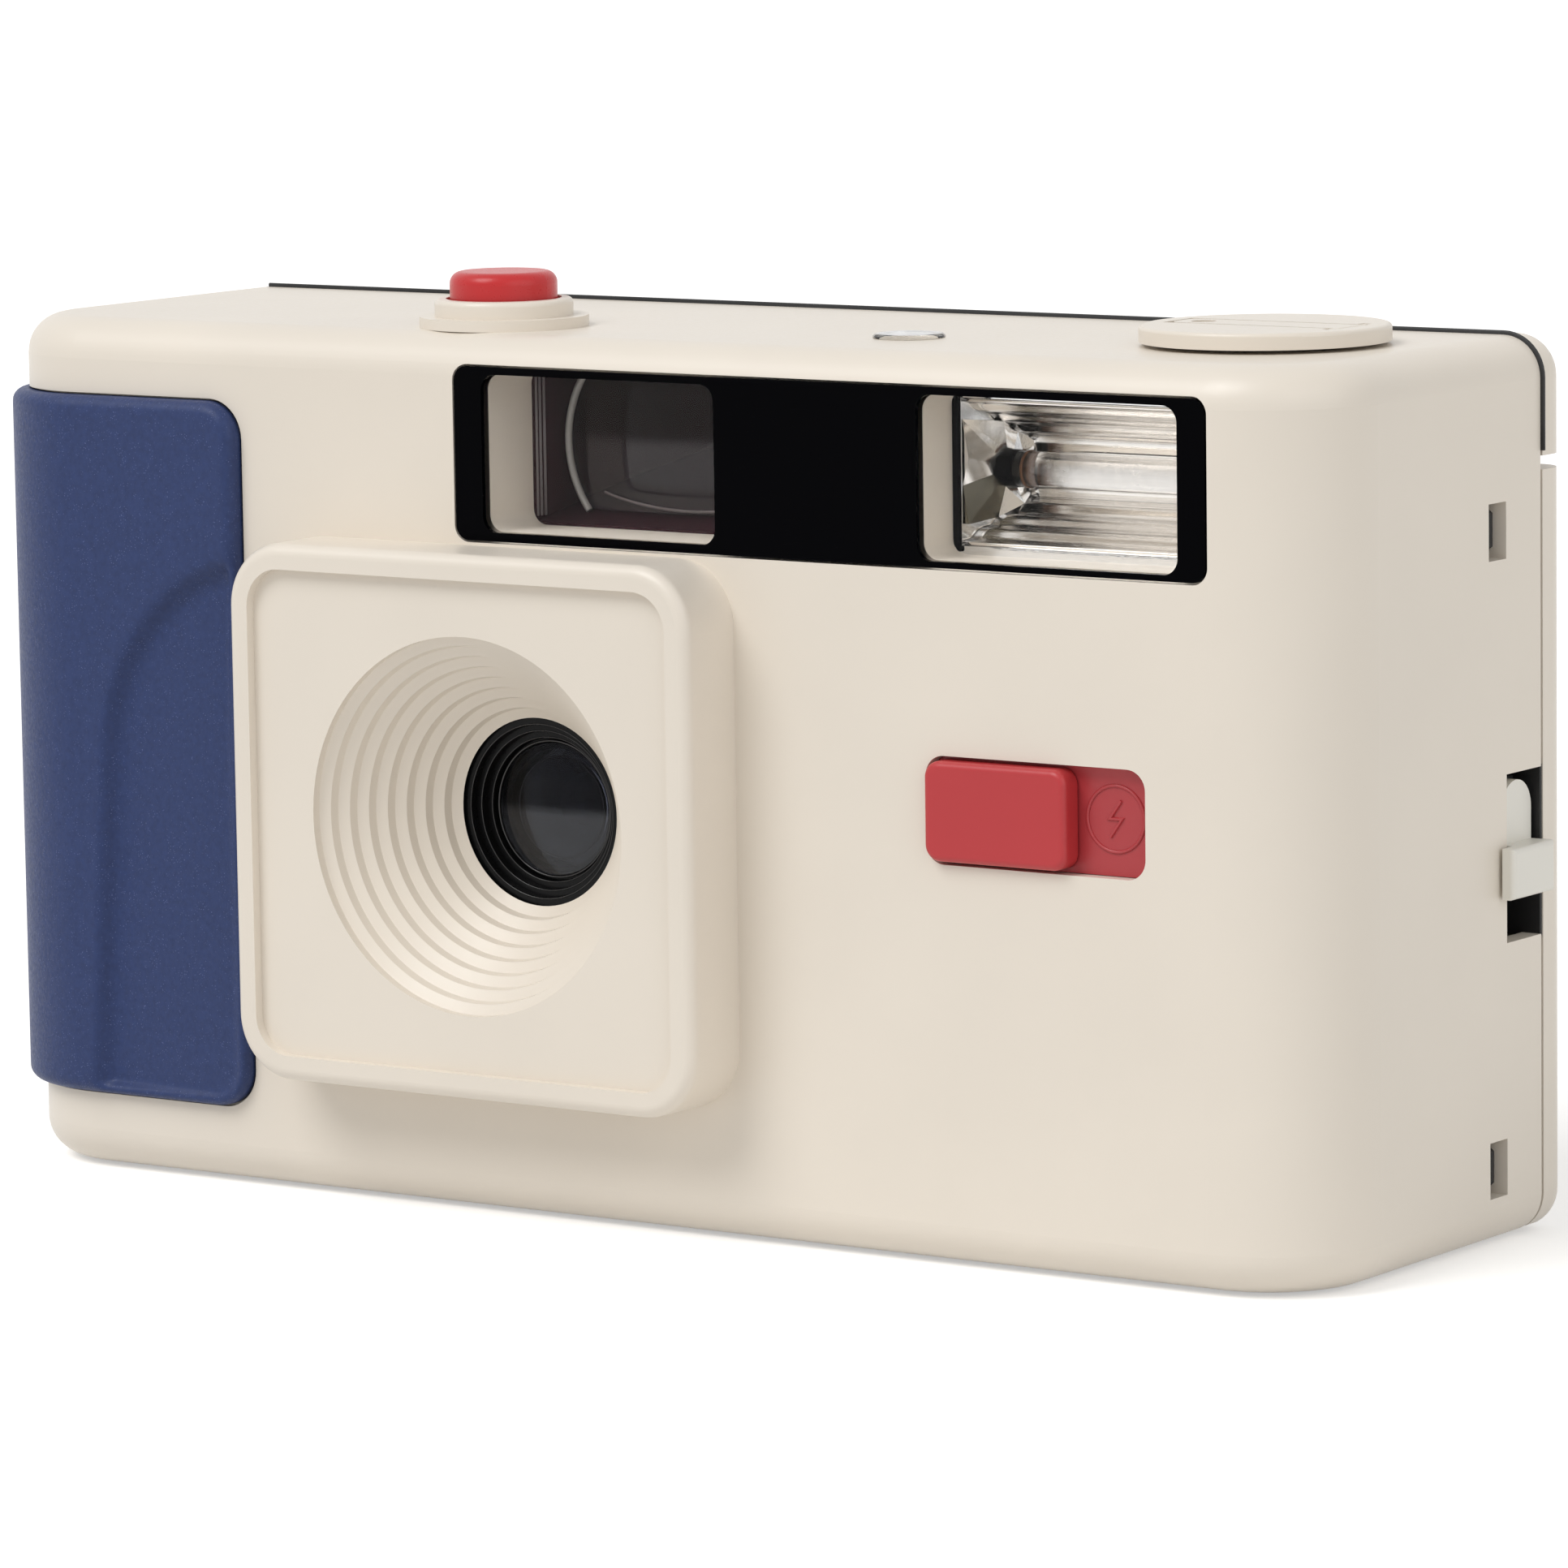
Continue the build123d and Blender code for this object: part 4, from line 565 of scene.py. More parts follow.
def turned(profile: tuple[Pair, ...], start: Point, around: int = 64) -> Made:
    """Turns a profile about a line along X, and closes it at both ends.

    Args:
        profile: Radius and distance along the line, from one end to the other.
        start: The point on the line that distances start from.
        around: Points round each ring.

    Returns:
        Its points and faces: each ring holds radius * (cos a, sin a) across the line.
    """
    angle = np.linspace(0, 2 * pi, around, endpoint=False)
    radius, ahead = np.array(profile).T[..., None]
    points = np.stack((ahead + 0 * angle, radius * np.cos(angle), radius * np.sin(angle)), axis=-1)
    return points.reshape(-1, 3) + np.array(start), capped(len(profile), around)


def glass(middle: Pair, reach: np.ndarray, size: float, depths: Triple, shares: Rings) -> Made:
    """Shapes a lens that faces the front, with a domed front and a flat rear.

    Args:
        middle: Its middle, X and Z in mm.
        reach: How far it reaches, at even angles from +X towards +Z.
        size: The radius that its dome is drawn to.
        depths: The Y of the dome's rim, the Y of its rear, and how far the dome bulges.
        shares: The share of the reach at the first ring, at the last ring inside the border, and
            how many there are.

    Returns:
        Its points and faces: rings on the front at rim - bulge * (1 - (r / size) squared), then the
        same rings on the rear.
    """
    rim, rear, bulge = depths
    angle = np.linspace(0, 2 * pi, len(reach), endpoint=False)
    first, last, count = shares
    radius = np.concatenate((np.linspace(first, last, count), [1.0]))[:, None] * reach
    x, z = middle[0] + radius * np.cos(angle), middle[1] + radius * np.sin(angle)
    domed = rim - bulge * (1 - (radius / size) ** 2)
    front, behind = (np.stack((x, y, z), axis=-1) for y in (domed, np.full_like(domed, rear)))
    points = np.concatenate((front, behind[::-1]))
    return points.reshape(-1, 3), capped(len(points), len(reach))


def ring_wire(centre: Pair, radius: float, depth: float, wire: float, spans: Pair = (0.0, 360.0),
              around: int = 96, section: int = 10) -> Made:
    """Bends a round wire to a ring or an arc that faces the front.

    Args:
        centre: The ring's middle, X and Z in mm.
        radius: The radius of its centreline.
        depth: The Y of its centreline.
        wire: The wire's radius.
        spans: Where the arc starts and ends, in degrees from +X towards +Z.
        around: Points round the ring.
        section: Points round the wire.

    Returns:
        Its points and faces: the angle a runs round the ring and b round the wire, with
        the distance from the middle radius + wire * cos b and the depth wire * sin b.
    """
    full = spans[1] - spans[0] >= 360
    a = np.radians(np.linspace(*spans, around, endpoint=not full))[:, None]
    b = np.linspace(0, 2 * pi, section, endpoint=False)[None]
    out = radius + wire * np.cos(b)
    points = np.stack((centre[0] + out * np.cos(a), depth + wire * np.sin(b) + 0 * a,
                       centre[1] + out * np.sin(a)), axis=-1).reshape(-1, 3)
    if full:
        return points, [grid_faces(around + 1, section, loop=True) % len(points)]
    return points, capped(around, section)


def rib(points: np.ndarray, wide: float, high: float, top: float) -> Made:
    """Lays a raised line with sloping sides on a plane that faces the front.

    Args:
        points: The line's corners, X, Y and Z in mm, with Y the plane it lies on.
        wide: Its width at the foot.
        high: How far it stands out towards -Y.
        top: The share of its width that is flat on top.

    Returns:
        Its points and faces: at each corner the section is four points across the mitre.
    """
    along = np.diff(points[:, [0, 2]], axis=0)
    along /= np.linalg.norm(along, axis=1, keepdims=True)
    side = np.stack((-along[:, 1], along[:, 0]), axis=1)
    turn = np.concatenate(([2.0], 1 + (side[:-1] * side[1:]).sum(axis=1), [2.0]))
    mitre = np.concatenate((side[:1] * 2, side[:-1] + side[1:], side[-1:] * 2)) / turn[:, None]
    offsets = np.array((-0.5, -0.5 * top, 0.5 * top, 0.5)) * wide
    raised = np.array((0.0, high, high, 0.0))
    made = np.stack((points[:, None, 0] + mitre[:, None, 0] * offsets, points[:, None, 1] - raised,
                     points[:, None, 2] + mitre[:, None, 1] * offsets), axis=-1)
    return made.reshape(-1, 3), capped(len(points), 4)


def block(box: Box, edge: float) -> Made:
    """Makes a box whose edges are cut off at a slant.

    Args:
        box: Its lowest and highest corner.
        edge: How much the slant takes away.

    Returns:
        Its points and faces: four rings along Z, the outer two drawn in by the slant.
    """
    (x0, y0, z0), (x1, y1, z1) = box
    ring = np.array(((x0, y0, 1, 0), (x1, y0, -1, 0), (x1, y0, 0, 1), (x1, y1, 0, -1),
                     (x1, y1, -1, 0), (x0, y1, 1, 0), (x0, y1, 0, -1), (x0, y0, 0, 1)))
    wide = ring[:, :2] + ring[:, 2:] * edge
    middle = np.array(((x0 + x1) / 2, (y0 + y1) / 2))
    small = middle + (wide - middle) * (1 - 2 * edge / np.array((x1 - x0, y1 - y0)))
    rings = ((small, z0), (wide, z0 + edge), (wide, z1 - edge), (small, z1))
    points = np.concatenate([np.column_stack((flat, np.full(8, z))) for flat, z in rings])
    return points, capped(4, 8)


def joined(*pieces: Made) -> Made:
    """Puts several made pieces into one, with their points numbered through."""
    starts = np.cumsum([0] + [len(points) for points, _ in pieces])
    return (np.concatenate([points for points, _ in pieces]),
            [block + start for (_, faces), start in zip(pieces, starts) for block in faces])


class SubAssembly:
    """A part of the camera, with the steps that all parts share."""

    def build(self) -> None:
        """Dresses the nodes and adds the pieces."""
        raise NotImplementedError

    def dress(self, finish: Finish, *nodes: str) -> None:
        """Gives a finish to CAD nodes.

        Args:
            finish: The finish.
            *nodes: The nodes' names.
        """
        for name in nodes:
            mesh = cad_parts[name].data
            mesh.materials.clear()
            mesh.materials.append(finish.material())
            LOG.info("node %s in %s", name, finish.name)

    def put(self, name: str, made: Made, finish: Finish, slot: Slot, body: Body = Body.CAMERA,
            smooth: bool = True) -> bpy.types.Object:
        """Makes a piece of points and faces, and lets it ride on a body.

        Args:
            name: The piece's name.
            made: Its points in mm, and its faces in blocks of one corner count each.
            finish: Its finish.
            slot: The record's material slot it stands for; not used.
            body: The body it rides on.
            smooth: Whether its faces are shaded round.

        Returns:
            The new object, with its faces turned outwards.
        """
        mesh = bpy.data.meshes.new(name)
        points, blocks = made
        faces = [face for block in blocks for face in block.tolist()]
        mesh.from_pydata((points * MM).tolist(), [], faces)
        mesh.validate()
        outwards = bmesh.new()
        outwards.from_mesh(mesh)
        bmesh.ops.recalc_face_normals(outwards, faces=outwards.faces)
        outwards.to_mesh(mesh)
        outwards.free()
        mesh.polygons.foreach_set("use_smooth", [smooth] * len(mesh.polygons))
        mesh.materials.append(finish.material())
        piece = added(name, mesh)
        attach(piece, body.value)
        LOG.info("piece %s on %s: %d faces", name, body.value, len(mesh.polygons))
        return piece


@dataclass
class Shell(SubAssembly):
    """Front shell, hood, button, door and latch, with the seal in the seam behind the front shell.

    The seal's section rounds off from its walls to its face: seal_round holds how far each point
    lies under the face, and how far in from the wall.
    """

    half: float = 59.0
    top: float = 65.2
    corner: float = 3.0
    corner_points: int = 13
    seam: Pair = (14.02, 14.28)
    seal_end: float = 57.0
    seal_proud: float = 0.3
    seal_sunk: float = 1.0
    seal_round: tuple[Pair, ...] = ((0.09, 0.0), (0.02, 0.04), (0.0, 0.1))
    shade: Box = ((55.2, 9.3, 21.0), (55.6, 13.9, 35.0))
    # A black sheet over the door's face at the back of the latch slot: painted shade.
    liner: Box = ((55.2, 14.03, 21.8), (58.95, 14.27, 34.4))
    shade_edge: float = 0.08
    hook_reach: Pair = (57.15, 58.2)
    hook_depth: Pair = (6.6, 8.85)
    hook_heights: tuple[Pair, ...] = ((50.2, 53.4), (4.2, 7.3))
    hook_edge: float = 0.4

    def seal(self) -> Made:
        """Lays a strip in the seam, along the top and round its right corner.

        Returns:
            Its points and faces: the section carried along the shell's outline.
        """
        turn = np.radians(np.linspace(90, 0, self.corner_points))
        bend = np.column_stack((np.cos(turn), np.sin(turn)))
        arc = (self.half - self.corner, self.top - self.corner) + self.corner * bend
        start, end = (-self.half + self.corner, self.top), (self.half, self.seal_end)
        path = np.concatenate(([start], arc, [end]))
        away = np.concatenate(([(0.0, 1.0)], bend, [(1.0, 0.0)]))
        near, far = self.seam
        under, within = np.array(self.seal_round).T
        face, foot = self.seal_proud - under, [-self.seal_sunk]
        out = np.concatenate((foot, face, face[::-1], foot))
        deep = np.concatenate(([near], near + within, (far - within)[::-1], [far]))
        flat = path[:, None] + away[:, None] * out[None, :, None]
        points = np.stack((flat[..., 0], np.broadcast_to(deep, flat.shape[:2]), flat[..., 1]), axis=-1)
        return points.reshape(-1, 3), capped(len(path), len(out))

    def build(self) -> None:
        """Dresses the outer mouldings, and adds the seal, the latch's shade and its hooks' ends."""
        put, dress = self.put, self.dress
        dress(CREAM, "front_shell", "lens_hood", "rear_cover", "back_door", "battery_hatch",
              "rewind_knob", "rewind_crank", "button_collar")
        dress(RED_BUTTON, "shutter_button")
        dress(PALE, "latch_knob")
        dress(BLACK_SKIN, "latch_bar")
        dress(STEEL, "hinge_pin")
        put("seam_seal", self.seal(), BLACK_SKIN, Slot.BLACK)
        # latch_shade joins a black wall in the latch slot and a black sheet over the door's cream face
        # at the slot's back; the sheet is painted shade.
        shade = joined(block(self.shade, self.shade_edge), block(self.liner, self.shade_edge))
        put("latch_shade", shade, BLACK_SKIN, Slot.BLACK, smooth=False)
        (x0, x1), (y0, y1) = self.hook_reach, self.hook_depth
        hooks = [block(((x0, y0, low), (x1, y1, high)), self.hook_edge)
                 for low, high in self.hook_heights]
        put("hook_ends", joined(*hooks), BLACK_SKIN, Slot.BLACK, smooth=False)


@dataclass
class Grip(SubAssembly):
    """Blue skin that wraps the front left corner, with one soft step across it.

    step_arc holds the step's middle X and Z and its radius, step_run where it starts and how wide it
    is, and fade_run the same for the way back. rim_stations are the grid's places near an edge.
    """

    edge_x: float = -34.0
    bend: Pair = (-50.0, -9.0)
    bend_radius: float = 10.3
    end_y: float = 6.0
    low: float = 6.0
    high: float = 59.5
    thick: float = 1.75
    least: float = 0.2
    corners: Pair = (3.0, 0.8)
    fillet: float = 1.0
    step: float = 1.0
    step_fades: float = 0.5
    step_arc: Triple = (-30.5, 31.7, 16.5)
    step_lean: float = 0.061
    step_run: Pair = (-0.2, 1.4)
    fade_run: Pair = (1.5, 11.5)
    spacing: float = 0.4
    rim_stations: tuple[float, ...] = (0, 0.03, 0.08, 0.16, 0.27, 0.4, 0.56, 0.74, 0.92, 1.1)

    def plan(self, along: np.ndarray, inward: np.ndarray) -> tuple[np.ndarray, np.ndarray]:
        """Bends a distance along the skin round the body's corner.

        Args:
            along: Distances in mm from the skin's front edge.
            inward: How far each point lies below the skin's face.

        Returns:
            X and Y: straight on the front, then an arc, then straight on the side.
        """
        past = along - (self.edge_x - self.bend[0])
        turn = np.clip(past / self.bend_radius, 0, pi / 2)
        radius = self.bend_radius - inward
        side = np.maximum(past - self.bend_radius * pi / 2, 0)
        x = self.bend[0] - radius * np.sin(turn) - np.minimum(past, 0)
        return x, self.bend[1] - radius * np.cos(turn) + side

    def sunk(self, x: np.ndarray, z: np.ndarray) -> np.ndarray:
        """Measures how deep the step is sunk.

        Args:
            x: Places along the skin, as X on the unrolled front.
            z: Heights.

        Returns:
            The depth in mm: a smooth step where the arc or the leaning line below it is crossed,
            which then fades in a straight line to the right.
        """
        middle_x, middle_z, radius = self.step_arc
        past_arc = radius - np.hypot(x - middle_x, z - middle_z)
        past_line = x - middle_x + radius + self.step_lean * (middle_z - z)
        past = np.where(z > middle_z, past_arc, past_line)
        share, faded = (np.clip((past - start) / run, 0, 1)
                        for start, run in (self.step_run, self.fade_run))
        return self.step * share ** 2 * (3 - 2 * share) - self.step_fades * faded

    def stations(self, size: float) -> np.ndarray:
        """Places the grid's lines.

        Args:
            size: The skin's length or height.

        Returns:
            Distances from 0 to size, even in the middle and closer near both ends.
        """
        fine, edge = np.array(self.rim_stations[:-1]), self.rim_stations[-1]
        inner = np.linspace(edge, size - edge, int(size / self.spacing))
        return np.concatenate((fine, inner, (size - fine)[::-1]))

    def sheet(self, u: np.ndarray, v: np.ndarray, inward: np.ndarray) -> np.ndarray:
        """Gives the points at lengths u and heights v, at a depth below the skin's face."""
        return np.stack((*self.plan(u, inward), self.low + v), axis=-1)

    def skin(self) -> Made:
        """Shapes the skin.

        Returns:
            Its points and faces: a grid over length and height whose corner squares are drawn in to
            quarter discs, with a rounded edge, closed by a plain inner sheet.
        """
        length = (self.edge_x - self.bend[0]) + self.bend_radius * pi / 2 + (self.end_y - self.bend[1])
        height = self.high - self.low
        u, v = np.meshgrid(self.stations(length), self.stations(height), indexing="ij")
        radius = np.where(u < length / 2, self.corners[0], self.corners[1])

        def past(place: np.ndarray, size: float) -> np.ndarray:
            """Measures how far places lie past the start of the corner squares."""
            return np.abs(place - size / 2) - size / 2 + radius

        across = np.sign(u - length / 2) * np.maximum(past(u, length), 0) / radius
        up = np.sign(v - height / 2) * np.maximum(past(v, height), 0) / radius
        u = u + radius * across * (np.sqrt(1 - up ** 2 / 2) - 1)
        v = v + radius * up * (np.sqrt(1 - across ** 2 / 2) - 1)
        past_u, past_v = past(u, length), past(v, height)
        inside = (radius - np.hypot(np.maximum(past_u, 0), np.maximum(past_v, 0))
                  - np.minimum(np.maximum(past_u, past_v), 0))
        left = np.clip(self.fillet - inside, 0, self.fillet)
        rounded = self.fillet - np.sqrt(np.maximum(self.fillet ** 2 - left ** 2, 0))
        step = self.sunk(self.edge_x - u, self.low + v) * (1 - left / self.fillet) ** 2
        deep = np.minimum(step + rounded, self.thick - self.least)
        return slab(self.sheet(u, v, deep), self.sheet(u, v, np.full_like(deep, self.thick)))

    def build(self) -> None:
        """Puts the shaped skin in the place of the plain one."""
        self.dress(GRIP, "grip")
        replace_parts(self.put("grip_skin", self.skin(), GRIP, Slot.BLUE), "grip")


@dataclass
class Switch(SubAssembly):
    """Flash switch: a red knob, and the plate and its raised mark in a darker red: painted shade."""

    mark: Pair = (42.4, 33.1)
    plate_front: float = -17.0
    ring: float = 2.35
    line: float = 0.28
    line_top: float = 0.5
    raised: float = 0.14
    section: int = 8
    bolt_shape: tuple[Pair, ...] = ((0.45, 1.3), (-0.5, 0.0), (0.5, 0.0), (-0.45, -1.3))

    def bolt(self) -> np.ndarray:
        """Gives the flash sign's corners, a zigzag line on the plate."""
        x, z = (np.array(self.bolt_shape) + self.mark).T
        return np.stack((x, np.full_like(x, self.plate_front), z), axis=1)

    def build(self) -> None:
        """Dresses the switch and puts the mark on its plate."""
        put, dress = self.put, self.dress
        dress(RED, "flash_switch")
        dress(RED_PAINTED_SHADE, "switch_plate")
        ring = ring_wire(self.mark, self.ring, self.plate_front, self.raised, section=self.section)
        put("flash_ring_mark", ring, RED_PAINTED_SHADE, Slot.RED)
        bolt = rib(self.bolt(), self.line, self.raised, self.line_top)
        put("flash_bolt_mark", bolt, RED_PAINTED_SHADE, Slot.RED, smooth=False)


class WindowBar(SubAssembly):
    """Black bar in front of viewfinder and flash, with its clear pane."""

    def build(self) -> None:
        """Dresses the bar, its pane and the small window on top."""
        panes = ("window_pane", "counter_window")
        self.dress(BLACK_MASK, "window_mask")
        self.dress(PANE, *panes)
        lit_through(*(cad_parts[name] for name in panes))


@dataclass
class Finder(SubAssembly):
    """Viewfinder: its lined tube, the front lens cut off on three sides, and its grey rim.

    limits are the lens's cuts at the right, below and above. The rim is an arc of wire just outside
    the lens. The edge highlight is a finer grey arc of its own middle and radius along the lens's lower
    edge, a painted highlight. ribs holds each rib's X and Y.
    """

    middle: Pair = (-1.3, 57.0)
    radius: float = 8.4
    limits: Triple = (8.0, 51.9, 62.05)
    depths: Triple = (-9.0, -8.5, 1.1)
    around: int = 180
    shares: Rings = (0.04, 0.98, 24)
    least: float = 0.01
    rim_gap: float = 0.05
    rim_depth: float = -9.15
    wire: float = 0.27
    arc: Pair = (144.0, 218.0)
    lip: tuple[Pair, float, float, float] = ((1.6, 82.15), 30.0, -9.2, 0.11)
    lip_arc: Pair = (254.5, 282.0)
    ribs: tuple[Pair, ...] = ((-11.26, -11.1), (-11.18, -10.75), (-11.1, -10.35))
    rib_radius: float = 0.1
    rib_edge: float = 0.06
    rib_heights: Pair = (51.4, 62.1)

    def lens(self) -> Made:
        """Shapes the front lens.

        Returns:
            Its points and faces: it reaches to the nearest of its rim and its three cuts.
        """
        angle = np.linspace(0, 2 * pi, self.around, endpoint=False)
        across, up = np.cos(angle), np.sin(angle)
        (right, low, high), (x, z) = self.limits, self.middle
        rooms = ((across, right - x), (up, high - z), (-up, z - low))
        reach = np.full_like(angle, self.radius)
        for share, room in rooms:
            cut = np.minimum(reach, room / np.maximum(share, self.least))
            reach = np.where(share > self.least, cut, reach)
        return glass(self.middle, reach, self.radius, self.depths, self.shares)

    def build(self) -> None:
        """Dresses the viewfinder and adds its lens, rim and wall ribs."""
        put, dress = self.put, self.dress
        dress(DARK_LINING, "finder_tube")
        dress(FINDER_LENS, "finder_lens", "eyepiece")
        lens = put("finder_front_lens", self.lens(), FINDER_FRONT, Slot.CLEAR)
        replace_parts(lens, "finder_lens")
        lit_through(lens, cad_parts["eyepiece"])
        rim = ring_wire(self.middle, self.radius + self.rim_gap, self.rim_depth, self.wire, self.arc)
        # A finer grey arc along the lens's lower edge: painted highlight.
        lip = ring_wire(*self.lip, self.lip_arc)
        put("finder_rim", joined(rim, lip), RIM_GREY, Slot.BLACK)
        (low, high), half = self.rib_heights, self.rib_radius
        bars = [block(((x - half, y - half, low), (x + half, y + half, high)), self.rib_edge)
                for x, y in self.ribs]
        put("finder_ribs", joined(*bars), LINE_GREY, Slot.BLACK)


@dataclass
class Flash(SubAssembly):
    """Flash: a fluted reflector round the tube, with a faceted fan at each end and dark seals. The
    fans'
    lower front facets are a darker chrome: a painted dark reflection.

    front and rear hold the left, right, lower and upper wall's X or Z at the two depths.
    sheet_points are the bright sheet's points along each wall and across, and sheet_side the share
    of the width that it leaves free. fan_gaps are what a fan leaves free at the front, at the rear,
    and below and above. fan_foot is the share of a facet's height at the tube, and what is added.
    """

    front: tuple[float, ...] = (27.2, 47.6, 51.2, 61.8)
    rear: tuple[float, ...] = (29.6, 45.2, 54.3, 58.7)
    depths: Pair = (-12.7, -7.0)
    tube: Pair = (-8.9, 56.5)
    pitch: float = 1.74
    flute: float = 0.1
    lift: float = 0.2
    sheet_gap: float = 0.05
    sheet_side: float = 0.004
    sheet_back: float = 0.02
    sheet_points: tuple[int, int] = (60, 24)
    facets: int = 12
    facet_heights: Pair = (0.04, 0.55)
    fan_gaps: Triple = (0.08, 0.15, 0.3)
    fan_start: float = 1.35
    fan_foot: Pair = (0.35, 0.05)
    fan_back: float = -0.03
    fan_reach: tuple[float, int] = (12.0, 1201)
    # Facets further than this below and in front of the tube get a darker chrome: painted dark
    # reflection.
    smoked_from: float = 0.3
    sleeve_start: float = 27.9
    sleeve: tuple[Pair, ...] = ((0.3, -0.1), (1.06, 0.0), (1.28, 0.08), (1.36, 0.3), (1.36, 1.8),
                                (1.28, 2.02), (1.32, 2.1))
    sleeve_around: int = 48
    band_start: float = 30.5
    band: tuple[Pair, ...] = ((1.32, 0.0), (1.37, 0.04), (1.38, 0.12), (1.37, 0.2), (1.32, 0.24))
    seals: tuple[Box, ...] = (((26.6, -13.0, 50.8), (27.25, -12.72, 62.2)),
                              ((47.55, -13.0, 50.8), (48.2, -12.72, 62.2)))
    seal_edge: float = 0.08

    def walls(self, deep: np.ndarray | float) -> list[np.ndarray | float]:
        """Gives the X of the left and right walls and the Z of the lower and upper ones at depths Y."""
        share = (deep - self.depths[0]) / (self.depths[1] - self.depths[0])
        return [front + share * (rear - front) for front, rear in zip(self.front, self.rear)]

    def both(self, left: Made) -> Made:
        """Adds the mirror image of a piece at the right end."""
        across = self.front[0] + self.front[1]
        return joined(left, (left[0] * (-1, 1, 1) + (across, 0, 0), left[1]))

    def flutes(self) -> Made:
        """Shapes the bright sheet that lies in the reflector.

        Returns:
            Its points and faces: a C section along Y and Z, raised off the wall at the distance s
            along it by lift + flute * cos(2 pi s / pitch), so that the flutes run with the tube.
        """
        near, far = self.depths[0] + self.sheet_gap, self.depths[1] - self.sheet_gap
        (near_low, near_high), (far_low, far_high) = self.walls(near)[2:], self.walls(far)[2:]
        turns = np.array(((near, near_low), (far, far_low), (far, far_high), (near, near_high)))
        along_leg, across = self.sheet_points
        share = np.linspace(0, 1, along_leg)[:, None]
        first, back, last = (start + share * (end - start) for start, end in zip(turns, turns[1:]))
        path = np.concatenate((first, back[1:-1], last))
        along = np.gradient(path, axis=0)
        along /= np.linalg.norm(along, axis=1, keepdims=True)
        into = np.stack((-along[:, 1], along[:, 0]), axis=1)
        gone = np.concatenate(([0], np.cumsum(np.linalg.norm(np.diff(path, axis=0), axis=1))))
        left, right = self.walls(path[:, :1])[:2]
        x = left + np.linspace(self.sheet_side, 1 - self.sheet_side, across) * (right - left)
        raised = self.lift + self.flute * np.cos(2 * pi * gone / self.pitch)
        sheets = [path + into * off for off in (raised[:, None], self.sheet_back)]
        return slab(*(np.concatenate((x[..., None], np.repeat(sheet[:, None], across, axis=1)), axis=-1)
                      for sheet in sheets))

    def fan(self) -> Made:
        """Shapes the faceted left end of the reflector.

        Returns:
            Its points and faces: rays from the tube's hole to the wall's border, every second one
            raised, and a plain sheet behind.
        """
        middle_y, middle_z = self.tube
        number = np.arange(self.facets)
        angle = (2 * number + 1) * pi / self.facets
        side, up = np.cos(angle), np.sin(angle)
        steps = np.linspace(0, *self.fan_reach)
        y, z = middle_y + np.outer(side, steps), middle_z + np.outer(up, steps)
        front, rear, rest = self.fan_gaps
        low, high = self.walls(y)[2:]
        within = ((y > self.depths[0] + front) & (y < self.depths[1] - rear)
                  & (z > low + rest) & (z < high - rest))
        reach = steps[np.argmin(within, axis=1)]
        radius = np.stack((np.full_like(reach, self.fan_start), reach))
        low, high = self.facet_heights
        share, length = self.fan_foot
        rise = np.where(number % 2, high, low)
        rise = np.stack((rise * share + length, rise))
        y, z = middle_y + radius * side, middle_z + radius * up
        wall = self.walls(y)[0]
        top, bottom = (np.stack((wall + off, y, z), axis=-1) for off in (rise, self.fan_back))
        return slab(top, bottom, loop=True)

    def build(self) -> None:
        """Dresses the flash, and adds its bright sheet, ends, sleeves, band and seals."""
        put, dress = self.put, self.dress
        dress(CHROME, "flash_reflector")
        dress(TUBE, "flash_tube")
        lit_through(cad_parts["flash_tube"])
        put("reflector_flutes", self.flutes(), SATIN, Slot.MIRROR)
        mesh = put("reflector_ends", self.both(self.fan()), CHROME, Slot.MIRROR, smooth=False).data
        # Facets low and towards the front take a second, darker chrome: painted dark reflection.
        mesh.materials.append(DARK_REFLECTION_CHROME.material())
        places = np.empty(3 * len(mesh.polygons))
        mesh.polygons.foreach_get("center", places)
        _, y, z = places.reshape(-1, 3).T / MM
        dark_reflecting = (y < self.tube[0] - self.smoked_from) & (z < self.tube[1] - self.smoked_from)
        mesh.polygons.foreach_set("material_index", dark_reflecting.astype(np.int32))
        sleeve = turned(self.sleeve, (self.sleeve_start, *self.tube), self.sleeve_around)
        put("tube_sleeves", self.both(sleeve), BLACK_MASK, Slot.BLACK)
        put("trigger_band", turned(self.band, (self.band_start, *self.tube)), COPPER, Slot.STEEL)
        seals = joined(*(block(box, self.seal_edge) for box in self.seals))
        put("flash_seals", seals, BLACK_MASK, Slot.BLACK, smooth=False)


